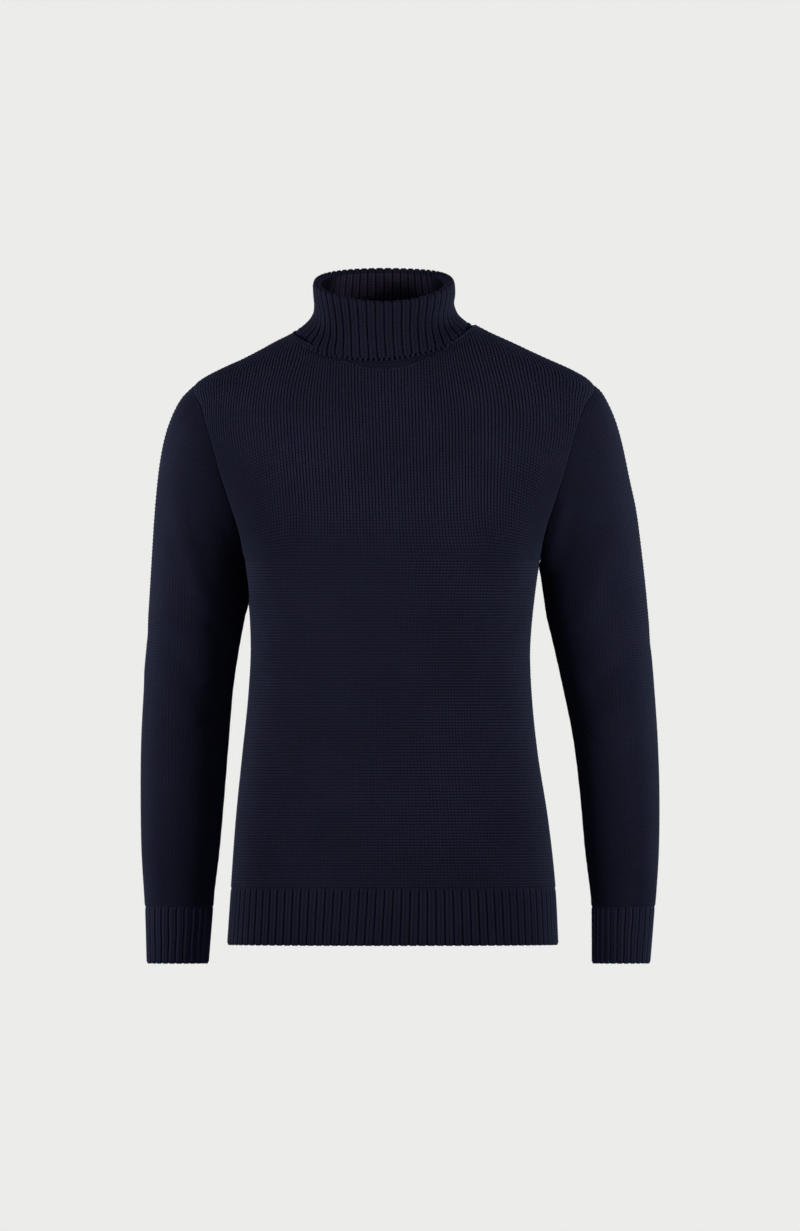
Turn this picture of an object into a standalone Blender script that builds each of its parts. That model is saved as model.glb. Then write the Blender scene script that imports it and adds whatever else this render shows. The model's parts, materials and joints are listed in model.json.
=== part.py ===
"""A knitted turtleneck sweater, open and hollow, in the shape that it has when it is worn.

Metres, +Z up. The front faces -Y and the wearer's left arm is at +X. The origin lies midway between the
shoulders, at the height where the shoulder line meets the collar. Every piece is a closed wall of cloth: an outer
face worked out from the size tables below, and an inner face set back from it by the cloth's thickness.
"""

import math
from collections import namedtuple

import bmesh
import bpy
import numpy as np

MM = 0.001

# Cloth, in millimetres
WALL = 2.8  # plain knit
RIB_WALL = 2.0  # ribbed knit, measured in its grooves
RIB_RISE = 1.6  # how far a rib stands out of its grooves
SEAM_GAP = 0.3  # between two pieces that are sewn together

# Torso: one row for each level. half_width is that of the front's own edge, which is the side seam, then the
# armhole and then the shoulder line. front and back are depths from the side seam's plane.
Level = namedtuple("Level", "height half_width front back centre")
TORSO = (
    Level(-688, 185.6, 112, 114, 0.9),  # bottom edge
    Level(-625, 181.8, 110, 110, 1.4),  # top of the ribbed hem
    Level(-549, 174.9, 106, 102, 0.0),
    Level(-470, 164.8, 101, 92, -2.2),
    Level(-414, 159.0, 99, 86, -2.2),
    Level(-358, 156.4, 101, 86, -1.7),  # waist
    Level(-302, 160.0, 106, 92, -0.6),
    Level(-258, 165.5, 112, 98, 0.0),  # underarm
    Level(-228, 171.0, 115, 102, 0.0),
    Level(-193, 182.0, 116, 105, 0.0),  # chest
    Level(-160, 192.5, 114, 106, 0.0),
    Level(-137, 199.0, 110, 106, 0.0),
    Level(-110, 206.5, 104, 104, 0.0),
    Level(-85, 214.5, 95, 99, 1.0),
    Level(-61, 222.5, 86, 90, 2.6),  # shoulder point
    Level(-53, 212.5, 83, 86, 3.4),
    Level(-45, 197.8, 80, 83, 3.9),
    Level(-31, 167.0, 76, 78, 3.5),
    Level(-22, 148.8, 75, 76, 2.4),
    Level(-13, 131.0, 73, 73, 1.0),
    Level(-4, 112.0, 72, 71, 0.0),
    Level(4, 98.0, 71, 69, -1.7),
    Level(14, 82.0, 69, 66, -5.0),
)
SQUARENESS = 2.3  # exponent of the torso's sections: 2 is an ellipse, more is boxier
HEM_EDGE, HEM_TOP = -688, -625
UNDERARM, SHOULDER_POINT = -258, -61
ARMHOLE_DEPTH = 61  # half of the armhole's width from front to back

# Neckline, on the torso's surface
NECK_SIDES = {-1: -4.5, 1: -0.5}  # heights on the shoulder lines, towards -X and +X
NECK_FRONT, NECK_BACK = -44, 1  # heights
NECK_DIP = 2.3  # a larger exponent keeps the neckline up longer beside the neck

# Sleeves: one row for each ring. A ring's plane holds its outer and inner points and the Y direction.
Ring = namedtuple("Ring", "outer_x outer_z inner_x inner_z half_depth centre_y")
LEFT_SLEEVE = (  # the wearer's left, at +X
    Ring(236.0, -72, 165.9, -263, 62, 0),
    Ring(248.5, -97, 165.6, -268, 62, 0),
    Ring(257.5, -127, 166.4, -274, 61, -1),
    Ring(265.5, -165, 167.4, -281, 60, -2),
    Ring(273.5, -203, 168.6, -290, 59, -4),
    Ring(279.0, -245, 170.4, -302, 57, -7),
    Ring(284.0, -290, 173.4, -322, 55, -11),
    Ring(288.5, -340, 180.2, -350, 53, -16),
    Ring(293.0, -395, 190.2, -395, 50, -21),
    Ring(297.0, -455, 202.4, -455, 47, -28),
    Ring(299.0, -517, 210.2, -517, 44, -37),
    Ring(298.4, -580, 215.8, -580, 40, -47),
    Ring(295.6, -627, 221.6, -627, 35, -55),
    Ring(294.0, -645, 223.0, -645, 33, -58),  # sewn to the cuff
)
RIGHT_SLEEVE = (  # mirrored: x is measured towards -X
    Ring(235.5, -77, 165.8, -263, 62, 0),
    Ring(247.5, -100, 165.2, -269, 62, 0),
    Ring(255.5, -126, 164.4, -276, 61, -1),
    Ring(261.0, -158, 163.4, -284, 60, -2),
    Ring(265.3, -202, 162.2, -294, 58, -4),
    Ring(268.3, -248, 162.0, -307, 56, -7),
    Ring(271.0, -294, 165.6, -327, 54, -11),
    Ring(274.2, -345, 171.0, -356, 52, -16),
    Ring(277.4, -400, 177.8, -402, 49, -21),
    Ring(280.4, -460, 182.6, -460, 46, -28),
    Ring(281.0, -520, 187.4, -520, 43, -37),
    Ring(280.0, -580, 192.6, -580, 40, -47),
    Ring(277.2, -627, 198.2, -627, 36, -55),
    Ring(276.0, -645, 199.6, -645, 35, -58),
)
CUFF_EDGE = -708
LEFT_CUFF_END = Ring(288.8, CUFF_EDGE, 223.2, CUFF_EDGE, 31, -69)
RIGHT_CUFF_END = Ring(274.2, CUFF_EDGE, 204.6, CUFF_EDGE, 33, -69)

# Turtleneck: the outer face of the layer that is turned down. share runs from its lower edge to the fold.
Stage = namedtuple("Stage", "share half_width front back centre turn air")
COLLAR = (  # turn: how far the ribs have swung to the sides, in radians. air: between the two layers
    Stage(0.00, 98.5, 81.5, 73.5, -4.0, 0.00, 0.6),
    Stage(0.12, 89.5, 79.8, 71.8, -4.8, 0.00, 0.9),
    Stage(0.23, 83.5, 78.8, 70.8, -6.2, 0.00, 1.4),
    Stage(0.36, 79.8, 78.0, 70.0, -7.8, 0.02, 2.0),
    Stage(0.55, 78.4, 77.6, 69.6, -8.8, 0.06, 2.6),
    Stage(0.78, 79.4, 77.8, 69.8, -8.6, 0.13, 3.0),
    Stage(1.00, 79.8, 77.8, 70.0, -9.0, 0.20, 3.0),
)
COLLAR_LAYER = 3.0  # thickness of each of the two layers, ribs included
LOOSE_SIDE = 1.2  # how much more air the fold holds at +X
Heights = namedtuple("Heights", "front side back front_dip back_dip lean")  # lean: rise towards +X, per millimetre
COLLAR_EDGE = Heights(-32.0, 2.5, 9.0, 1.2, 1.2, 0.025)
COLLAR_FOLD = Heights(27.3, 46.5, 64.6, 1.4, 0.62, 0.0)  # middle of the fold's bend

# Ribs
COLLAR_RIBS = 50
HEM_RIBS = 50  # on the front, and again on the back
CUFF_RIBS = 25
RIB_SHAPE = ((0.0, 0.0), (0.24, 1.0), (0.76, 1.0))  # share of the rib's width, share of its rise
RIB_START = 6  # below this distance from its seam a rib has its whole rise

# Columns and rows of the plain pieces
SHOULDER_COLUMNS = 6  # along each shoulder line
NECK_COLUMNS = 12  # along the neckline, on the front and again on the back
PANEL_COLUMNS = 2 * SHOULDER_COLUMNS + NECK_COLUMNS
SIDE_ROWS = 6  # from the hem to the underarm
ARMHOLE_ROWS = 10  # from the underarm to the shoulder
FINE = 160  # points of a curve before it is divided evenly

FRONT, BACK = -1, 1
NAVY = (0.012, 0.015, 0.036, 1.0)
UP = np.array([0.0, 0.0, 1.0])


# ---------------------------------------------------------------- curves

def spline(knots, values, at):
    """A smooth curve through a table's values, with knots in rising order."""
    knots, values, at = (np.asarray(v, float) for v in (knots, values, at))
    slopes = np.gradient(values, knots)
    i = np.clip(np.searchsorted(knots, at, side="right") - 1, 0, len(knots) - 2)
    span = knots[i + 1] - knots[i]
    t = (at - knots[i]) / span
    start = values[i] * (1 + 2 * t) * (1 - t) ** 2 + slopes[i] * span * t * (1 - t) ** 2
    end = values[i + 1] * (3 - 2 * t) * t**2 - slopes[i + 1] * span * (1 - t) * t**2
    return start + end


def column_of(table, key, name, at):
    return spline([getattr(row, key) for row in table], [getattr(row, name) for row in table], at)


def torso_at(name, z):
    return column_of(TORSO, "height", name, z)


def along(points, shares):
    """Points at these shares of a line's length."""
    points = np.asarray(points, float)
    steps = np.linalg.norm(np.diff(points, axis=0), axis=1)
    reach = np.concatenate([[0.0], np.cumsum(steps)])
    wanted = np.asarray(shares) * reach[-1]
    return np.stack([np.interp(wanted, reach, points[:, axis]) for axis in range(3)], axis=1)


def even(count):
    return np.linspace(0.0, 1.0, count + 1)


def unit(vectors):
    return vectors / np.linalg.norm(vectors, axis=-1, keepdims=True)


def normals_of(grid, loop=False):
    """Unit normals of a grid of rows, pointing to the right of a column's direction seen along its row."""
    if loop:
        across = np.roll(grid, -1, axis=1) - np.roll(grid, 1, axis=1)
    else:
        across = np.gradient(grid, axis=1)
    return unit(np.cross(across, np.gradient(grid, axis=0)))


# ---------------------------------------------------------------- torso surface

def armhole_depth(z):
    """Half of the armhole's width at a height, 0 above and below it."""
    middle, half = (SHOULDER_POINT + UNDERARM) / 2, (SHOULDER_POINT - UNDERARM) / 2
    share = np.clip((z - middle) / half, -1, 1)
    return ARMHOLE_DEPTH * np.sqrt(1 - share**2)


def section_half_width(z):
    """The whole section's half width, which passes under the sleeve beside the armhole."""
    depth_share = armhole_depth(z) / torso_at("front", z)
    return torso_at("half_width", z) / (1 - depth_share**SQUARENESS) ** (1 / SQUARENESS)


def torso_point(x, z, side):
    """The point of the torso's front or back at this x and height."""
    across = np.clip(np.abs(x - torso_at("centre", z)) / section_half_width(z), 0, 1)
    depth = torso_at("front" if side == FRONT else "back", z)
    y = side * depth * (1 - across**SQUARENESS) ** (1 / SQUARENESS)
    return np.stack(np.broadcast_arrays(x, y, z), axis=-1)


def level_line(z, side):
    """The torso's front or back at one height, from -X to +X."""
    turn = np.linspace(0, math.pi, FINE)
    x = torso_at("centre", z) - torso_at("half_width", z) * np.cos(turn)
    return torso_point(x, np.full(FINE, float(z)), side)


def armhole_line(sign):
    """Heights and x of the armhole's edge, from the underarm up, closer together near its ends."""
    z = UNDERARM + (SHOULDER_POINT - UNDERARM) * (1 - np.cos(np.linspace(0, math.pi, FINE))) / 2
    return torso_at("centre", z) + sign * torso_at("half_width", z), z


def neckline(side, turn):
    """x and height of the neckline. turn is 0 at the -X side and pi at the +X side."""
    ends = [(torso_at("centre", z) + sign * torso_at("half_width", z), z) for sign, z in NECK_SIDES.items()]
    x, z = (a + (b - a) * (1 - np.cos(turn)) / 2 for a, b in zip(*ends))
    middle = NECK_FRONT if side == FRONT else NECK_BACK
    return x, z + (middle - z) * np.sin(turn) ** NECK_DIP


def shoulder_line(sign, shares):
    """x and height along the shoulder line, from the shoulder point to the neck."""
    z = np.linspace(SHOULDER_POINT, NECK_SIDES[sign], FINE)
    x = torso_at("centre", z) + sign * torso_at("half_width", z)
    line = along(np.stack([x, np.zeros(FINE), z], axis=1), shares)
    return line[:, 0], line[:, 2]


def top_edge(side):
    """x and height where each column of a panel ends: shoulder line, neckline, shoulder line."""
    shares = even(SHOULDER_COLUMNS)
    left, right = shoulder_line(-1, shares), shoulder_line(1, shares[::-1])
    middle = neckline(side, math.pi * even(NECK_COLUMNS)[1:-1])
    return tuple(np.concatenate(parts) for parts in zip(left, middle, right))


def panel_face(side):
    """The outer face of the front or back, row by row from the hem to the top edge."""
    u = even(PANEL_COLUMNS)
    heights = np.linspace(HEM_TOP + SEAM_GAP / 2, UNDERARM, SIDE_ROWS + 1)
    lower = np.stack([along(level_line(z, side), u) for z in heights])
    bottom = lower[-1]
    top_x, top_z = top_edge(side)
    edges = [armhole_line(-1), armhole_line(1)]
    v = np.linspace(0, 1, FINE)
    columns = []
    for i, share in enumerate(u):
        # A patch between the underarm's level, the armholes and the top edge, by transfinite interpolation
        x = blended(share, v, [e[0] for e in edges], bottom[:, 0], top_x, i)
        z = blended(share, v, [e[1] for e in edges], bottom[:, 2], top_z, i)
        columns.append(along(torso_point(x, z, side), even(ARMHOLE_ROWS)))
    upper = np.stack(columns, axis=1)
    return np.concatenate([lower, upper[1:]])


def blended(u, v, edges, bottom, top, i):
    """One coordinate of a patch's column i, where edges, bottom and top bound the patch."""
    sides = (1 - u) * edges[0] + u * edges[1]
    ends = (1 - v) * bottom[i] + v * top[i]
    corners = (1 - v) * ((1 - u) * bottom[0] + u * bottom[-1]) + v * ((1 - u) * top[0] + u * top[-1])
    return sides + ends - corners


# ---------------------------------------------------------------- walls

def seam_direction(loop):
    """At each point of a closed seam, the outward direction square to it in the seam's own plane."""
    ahead = unit(np.roll(loop, -1, axis=0) - np.roll(loop, 1, axis=0))
    plane = unit(np.cross(loop, np.roll(loop, -1, axis=0)).sum(axis=0))
    out = unit(np.cross(ahead, plane))
    return out * np.sign(np.sum(out * (loop - loop.mean(axis=0))))


def zip_rows(outer, inner):
    """Faces between two rows of corners. outer has as many steps as inner, or a whole number of times more."""
    times = (len(outer) - 1) // (len(inner) - 1)
    faces = []
    for i in range(len(inner) - 1):
        fan = outer[i * times : (i + 1) * times + 1]
        faces += [(inner[i], a, b) for a, b in zip(fan[:-2], fan[1:-1])]
        faces.append((inner[i], fan[-2], fan[-1], inner[i + 1]))
    return faces


def sheet_faces(rows):
    return [quad for low, high in zip(rows[:-1], rows[1:]) for quad in zip_rows(low, high)]


def make_wall(name, outer, inner, material, loop=False):
    """A closed wall between an outer and an inner face, each a grid of rows of points in millimetres."""
    points = np.concatenate([outer.reshape(-1, 3), inner.reshape(-1, 3)]) * MM
    faces, borders, start = [], [], 0
    for grid in (outer, inner):
        rows = (start + np.arange(grid.shape[0] * grid.shape[1])).reshape(grid.shape[:2])
        if loop:
            rows = np.concatenate([rows, rows[:, :1]], axis=1)
        rows = rows.tolist()
        faces += sheet_faces(rows)
        borders.append(rows)
        start += grid.shape[0] * grid.shape[1]
    face_out, face_in = borders
    faces += zip_rows(face_out[0], face_in[0]) + zip_rows(face_out[-1], face_in[-1])
    if not loop:
        for edge in (0, -1):
            faces += zip_rows([row[edge] for row in face_out], [row[edge] for row in face_in])
    mesh = bpy.data.meshes.new(name)
    mesh.from_pydata(points.tolist(), [], faces)
    mesh.materials.append(material)
    piece = bpy.data.objects.new(name, mesh)
    bpy.data.collections["turtleneck_sweater"].objects.link(piece)
    finish_mesh(mesh)
    return piece


def finish_mesh(mesh):
    """Faces outward, and cut along the shorter diagonal, so that two pieces agree along their seam."""
    shape = bmesh.new()
    shape.from_mesh(mesh)
    bmesh.ops.recalc_face_normals(shape, faces=shape.faces)
    bmesh.ops.triangulate(shape, faces=shape.faces, quad_method="SHORT_EDGE")
    shape.to_mesh(mesh)
    shape.free()
    mesh.shade_smooth()
    mesh.set_sharp_from_angle(angle=math.radians(50))


# ---------------------------------------------------------------- ribbed knit

def rib_shares(ribs):
    """Shares of a line's length where its ribs have a point, and each point's share of the rib's rise."""
    shares = [(i + place) / ribs for i in range(ribs) for place, _ in RIB_SHAPE]
    rise = [height for _ in range(ribs) for _, height in RIB_SHAPE]
    return np.array(shares), np.array(rise)


def band_heights(top, bottom):
    return np.array([top - SEAM_GAP / 2, top - RIB_START, bottom]), np.array([0.3, 1.0, 1.0])


# ---------------------------------------------------------------- the pieces

def make_panel(name, side, material):
    """The front or back. Its inner face follows the seams, so that it meets its neighbours square."""
    outer = panel_face(side)
    out = normals_of(outer) * -side
    out[: SIDE_ROWS + 1, (0, -1), 1] = 0  # side seams
    out[-1, : SHOULDER_COLUMNS + 1, 1] = 0  # shoulder lines
    out[-1, -SHOULDER_COLUMNS - 1 :, 1] = 0
    out[0, :, 2] = 0  # hem
    out = unit(out)
    for edge, sign in ((0, -1), (-1, 1)):
        loop = armhole_loop(sign)
        seam = seam_direction(loop)
        first = seam[: ARMHOLE_ROWS + 1]
        last = np.concatenate([seam[:1], seam[:ARMHOLE_ROWS - 1 : -1]])
        out[SIDE_ROWS:, edge] = (first if side == FRONT else last)[::-1]
    inner = outer - WALL * out
    apart = np.array([0, side * SEAM_GAP / 2, 0])
    return make_wall(name, outer + apart, inner + apart, material)


def armhole_loop(sign):
    """The armhole's points: from the shoulder down the front to the underarm and up the back."""
    edge = 0 if sign < 0 else -1
    front = panel_face(FRONT)[SIDE_ROWS:, edge][::-1]
    back = panel_face(BACK)[SIDE_ROWS:, edge]
    return np.concatenate([front, back[1:-1]])


def make_hem(name, side, material):
    shares, rise = rib_shares(HEM_RIBS)
    shares, rise = np.append(shares, 1.0), np.append(rise, 0.0)
    heights, growth = band_heights(HEM_TOP, HEM_EDGE)
    base = np.stack([along(level_line(z, side), shares) for z in heights])
    out = normals_of(base) * side
    out[..., 2] = 0
    out[:, (0, -1), 1] = 0
    out = unit(out)
    outer = base + out * (RIB_RISE * (np.outer(growth, rise) - 1))[..., None]
    inner = (base - out * (RIB_WALL + RIB_RISE))[:, :: len(RIB_SHAPE)]
    apart = np.array([0, side * SEAM_GAP / 2, 0])
    return make_wall(name, outer + apart, inner + apart, material)


def ring_point(ring, sign, turn):
    """Points of a sleeve's ring. turn is 0 on its outer side and grows towards the front."""
    outer = np.array([sign * ring.outer_x, ring.centre_y, ring.outer_z])
    inner = np.array([sign * ring.inner_x, ring.centre_y, ring.inner_z])
    middle, half = (outer + inner) / 2, (outer - inner) / 2
    depth = np.array([0.0, -ring.half_depth, 0.0])
    return middle + np.outer(np.cos(turn), half) + np.outer(np.sin(turn), depth)


def make_sleeve(name, rings, sign, material):
    """A tube from the armhole to the cuff. Its rings turn from the armhole's plane to level."""
    loop = armhole_loop(sign)
    count = len(loop)
    top, low = loop[0], loop[count // 2]
    armhole = Ring(sign * top[0], top[2], sign * low[0], low[2], ARMHOLE_DEPTH, 0)
    half = (top - low) / 2
    lift = (loop - (top + low) / 2) @ half / (half @ half)
    turn_at_seam = np.unwrap(np.arctan2(-loop[:, 1] / ARMHOLE_DEPTH, lift))
    level_turn = 2 * math.pi * np.arange(count) / count
    misfit = loop - ring_point(armhole, sign, turn_at_seam)
    apart = np.array([sign * SEAM_GAP, 0, 0])
    rows = [loop + apart]
    for i, ring in enumerate(rings, start=1):
        ease = min(1.0, i / 6)
        turn = turn_at_seam + (level_turn - turn_at_seam) * ease
        rows.append(ring_point(ring, sign, turn) + misfit * (1 - min(1.0, i / 3)))
    outer = np.stack(rows)
    outer[-1, :, 2] += SEAM_GAP / 2
    out = normals_of(outer, loop=True) * sign
    out[0] = seam_direction(loop)
    out[-1, :, 2] = 0
    return make_wall(name, outer, outer - WALL * unit(out), material, loop=True)


def make_cuff(name, start, end, sign, material):
    shares, rise = rib_shares(CUFF_RIBS)
    heights, growth = band_heights(start.outer_z, end.outer_z)
    turn = np.linspace(0, 2 * math.pi, FINE)
    rows = []
    for z in heights:
        share = (start.outer_z - z) / (start.outer_z - end.outer_z)
        ring = Ring(*(a + (b - a) * share for a, b in zip(start, end)))
        rows.append(along(ring_point(ring, sign, turn), shares))
    base = np.stack(rows)
    out = normals_of(base, loop=True) * sign
    out[..., 2] = 0
    out = unit(out)
    outer = base + out * (RIB_RISE * (np.outer(growth, rise) - 1))[..., None]
    inner = (base - out * (RIB_WALL + RIB_RISE))[:, :: len(RIB_SHAPE)]
    return make_wall(name, outer, inner, material, loop=True)


def collar_base(share, turn):
    """The outer face of the turned-down layer. turn is 0 at the back and grows towards -X."""
    across = -column_of(COLLAR, "share", "half_width", share) * np.sin(turn)
    ahead = np.cos(turn)
    depth = np.where(ahead > 0, *(column_of(COLLAR, "share", name, share) for name in ("back", "front")))
    edge, fold = (ring_heights(h, ahead) + h.lean * across for h in (COLLAR_EDGE, COLLAR_FOLD))
    x = column_of(COLLAR, "share", "centre", share) + across
    return np.stack([x, depth * ahead, edge + (fold - edge) * share], axis=-1)


def collar_frame(share, turn):
    """A point of the outer face, with its outward direction and the direction up the face."""
    step = 1e-3
    across = collar_base(share, turn + step) - collar_base(share, turn - step)
    low, high = max(share - step, 0.0), min(share + step, 1.0)
    rising = unit(collar_base(high, turn) - collar_base(low, turn))
    return collar_base(share, turn), unit(np.cross(across, rising)), rising


def collar_ring(share, inset, turn):
    """A ring of the collar, this far in from its outer face."""
    base, out, _ = collar_frame(share, turn)
    return base - np.reshape(inset, (-1, 1)) * out


def ring_heights(heights, ahead):
    """Heights round the neck, where ahead is 1 at the back and -1 at the front."""
    end = np.where(ahead > 0, heights.back, heights.front)
    dip = np.where(ahead > 0, heights.back_dip, heights.front_dip)
    return heights.side + (end - heights.side) * np.abs(ahead) ** dip


def neck_turns():
    """The turns, as collar_ring counts them, of the points that the neckline has on both panels."""
    steps = math.pi * even(NECK_COLUMNS)
    return np.concatenate([math.pi / 2 + steps, 3 * math.pi / 2 + steps[1:-1]])


def air_at(share, turn):
    """The air between the two layers, which is looser on one side."""
    looser = 1 + LOOSE_SIDE * np.clip(-np.sin(turn), 0, 1) ** 2 * share
    return column_of(COLLAR, "share", "air", share) * looser


def standing_ring(share, depth, turn):
    """A ring of the layer that stands inside, depth being 0 on its hidden face and 1 on the face by the neck."""
    return collar_ring(share, COLLAR_LAYER * (1 + depth) + air_at(share, turn), turn)


def collar_seam(depth):
    """The standing layer's lower end, straight between the points that it shares with the neckband."""
    return standing_ring(0.0, depth, np.linspace(0, 2 * math.pi, 2 * NECK_COLUMNS + 1))


def rib_row(ring, share, shares):
    """Points of a ring at the ribs' shares of its length, swung to the sides as COLLAR says."""
    swing = column_of(COLLAR, "share", "turn", share) / (2 * math.pi)
    return along(ring, shares - swing * np.sin(2 * math.pi * shares))


def fold_ring(depth, angle, shares):
    """A ring of the fold, this deep in its cloth. angle is 0 on its outer side and pi on its inner side."""
    turn = np.linspace(0, 2 * math.pi, FINE)
    base, out, rising = collar_frame(1.0, turn)
    radius = (COLLAR_LAYER + air_at(1.0, turn) / 2)[:, None]
    bent = math.cos(angle) * out + math.sin(angle) * rising
    return rib_row(base - radius * out + (radius - depth) * bent, 1.0, shares)


def make_collar(name, material):
    """The turtleneck: one wall that stands up from the neckband, folds over and comes down again."""
    shares, rise = rib_shares(COLLAR_RIBS)
    turn = np.linspace(0, 2 * math.pi, FINE)
    bends = [math.pi * step / 4 for step in (1, 2, 3)]

    def leg(ring, depth, stages, at):
        return [rib_row(ring(stage, depth, turn), stage, at) for stage in stages]

    shown = leg(collar_ring, 0.0, (0.0, 0.1, 0.22, 0.4, 0.65, 0.92), shares)
    shown += [fold_ring(0.0, angle, shares) for angle in bends]
    shown += leg(standing_ring, 1, (0.9, 0.65, 0.4, 0.12), shares)
    shown.append(along(collar_seam(1), shares))
    shown = np.stack(shown)
    growth = np.ones(len(shown))
    growth[-1] = 0
    shown = shown + normals_of(shown, loop=True) * (RIB_RISE * (np.outer(growth, rise) - growth[:, None]))[..., None]

    plain = shares[:: len(RIB_SHAPE)]
    hidden = leg(collar_ring, COLLAR_LAYER, (0.0, 0.1, 0.22, 0.4, 0.92), plain)
    hidden.append(fold_ring(COLLAR_LAYER, math.pi / 2, plain))
    hidden += leg(standing_ring, 0, (0.9, 0.4, 0.2), plain)
    hidden.append(along(collar_seam(0), plain))
    return make_wall(name, shown, np.stack(hidden), material, loop=True)


def make_neckband(name, material):
    """The plain band between the neckline and the collar."""
    turns = neck_turns()
    steps = math.pi * even(NECK_COLUMNS)
    front_x, front_z = neckline(FRONT, steps)
    back_x, back_z = neckline(BACK, steps[::-1][1:-1])
    edge = np.concatenate([torso_point(front_x, front_z, FRONT), torso_point(back_x, back_z, BACK)])
    top, top_inside = (standing_ring(0.0, depth, turns) - UP * SEAM_GAP for depth in (0, 1))
    out = band_normals()
    ahead = unit(np.roll(edge, -1, axis=0) - np.roll(edge, 1, axis=0))
    rising = unit(np.cross(out, ahead))
    rising *= np.sign(np.sum(rising * (top - edge), axis=1, keepdims=True))
    low = edge + SEAM_GAP * rising
    outer = np.stack([low, top])
    inner = np.stack([low - WALL * out, top_inside])
    return make_wall(name, outer, inner, material, loop=True)


def band_normals():
    """The torso's outward directions along the neckline, as both panels use them."""
    parts = []
    for side in (FRONT, BACK):
        out = normals_of(panel_face(side))[-1] * -side
        out = out[SHOULDER_COLUMNS : SHOULDER_COLUMNS + NECK_COLUMNS + 1]
        out[(0, -1), 1] = 0
        parts.append(unit(out))
    return np.concatenate([parts[0], parts[1][::-1][1:-1]])


# ---------------------------------------------------------------- scene

def clear_scene():
    for thing in list(bpy.data.objects):
        bpy.data.objects.remove(thing, do_unlink=True)


def knit(name, roughness):
    material = bpy.data.materials.new(name)
    material.use_nodes = True
    shader = material.node_tree.nodes["Principled BSDF"]
    shader.inputs["Base Color"].default_value = NAVY
    shader.inputs["Roughness"].default_value = roughness
    shader.inputs["Metallic"].default_value = 0.0
    return material


def main():
    clear_scene()
    collection = bpy.data.collections.new("turtleneck_sweater")
    bpy.context.scene.collection.children.link(collection)
    for name, side in (("front", FRONT), ("back", BACK)):
        make_panel(name, side, knit(f"{name}_jersey", 0.9))
        make_hem(f"hem_{name}", side, knit(f"hem_{name}_rib", 0.9))
    for name, rings, end, sign in (
        ("left", LEFT_SLEEVE, LEFT_CUFF_END, 1),
        ("right", RIGHT_SLEEVE, RIGHT_CUFF_END, -1),
    ):
        make_sleeve(f"sleeve_{name}", rings, sign, knit(f"sleeve_{name}_jersey", 0.9))
        make_cuff(f"cuff_{name}", rings[-1], end, sign, knit(f"cuff_{name}_rib", 0.9))
    make_neckband("neckband", knit("neckband_jersey", 0.9))
    make_collar("collar", knit("collar_rib", 0.9))


main()
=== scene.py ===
"""The looks of a knitted turtleneck sweater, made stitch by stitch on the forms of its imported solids.

Sizes are in millimetres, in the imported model's frame: +Z up, the front faces -Y and the wearer's left arm is at +X.
Each piece is a thin closed wall. Its stitches, ribs and soft creases are raised in the face that shows, with two
columns and two rows of points for each stitch, and its inner face is plain.
"""

import json
import math
from collections import namedtuple

import bmesh
import bpy
import numpy as np
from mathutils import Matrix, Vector

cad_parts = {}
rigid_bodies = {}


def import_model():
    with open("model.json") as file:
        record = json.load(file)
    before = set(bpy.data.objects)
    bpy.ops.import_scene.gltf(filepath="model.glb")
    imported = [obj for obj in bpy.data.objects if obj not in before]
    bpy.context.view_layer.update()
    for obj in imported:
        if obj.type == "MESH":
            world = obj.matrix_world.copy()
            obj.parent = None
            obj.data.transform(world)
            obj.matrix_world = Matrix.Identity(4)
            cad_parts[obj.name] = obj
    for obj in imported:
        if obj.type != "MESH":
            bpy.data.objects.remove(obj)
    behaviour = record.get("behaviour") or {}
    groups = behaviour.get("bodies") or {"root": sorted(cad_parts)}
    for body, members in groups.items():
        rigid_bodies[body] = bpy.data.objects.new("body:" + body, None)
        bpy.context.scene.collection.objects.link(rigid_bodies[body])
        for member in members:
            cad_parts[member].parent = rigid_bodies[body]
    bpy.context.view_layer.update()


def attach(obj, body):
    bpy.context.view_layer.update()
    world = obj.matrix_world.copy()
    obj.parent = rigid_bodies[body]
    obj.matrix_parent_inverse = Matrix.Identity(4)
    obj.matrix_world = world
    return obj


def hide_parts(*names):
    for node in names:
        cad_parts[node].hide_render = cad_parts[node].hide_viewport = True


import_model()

MM = 0.001

# Cloth
WALL = 2.8  # plain knit
RIB_WALL = 2.0  # ribbed knit, measured in its grooves
RIB_RISE = 1.6  # how far a rib stands out of its grooves
SEAM_LAP = 0.04  # how far sewn pieces reach over each other, so that no light shows between them
WALE = 4.0  # one stitch across
COURSE = 3.3  # one stitch up

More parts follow.
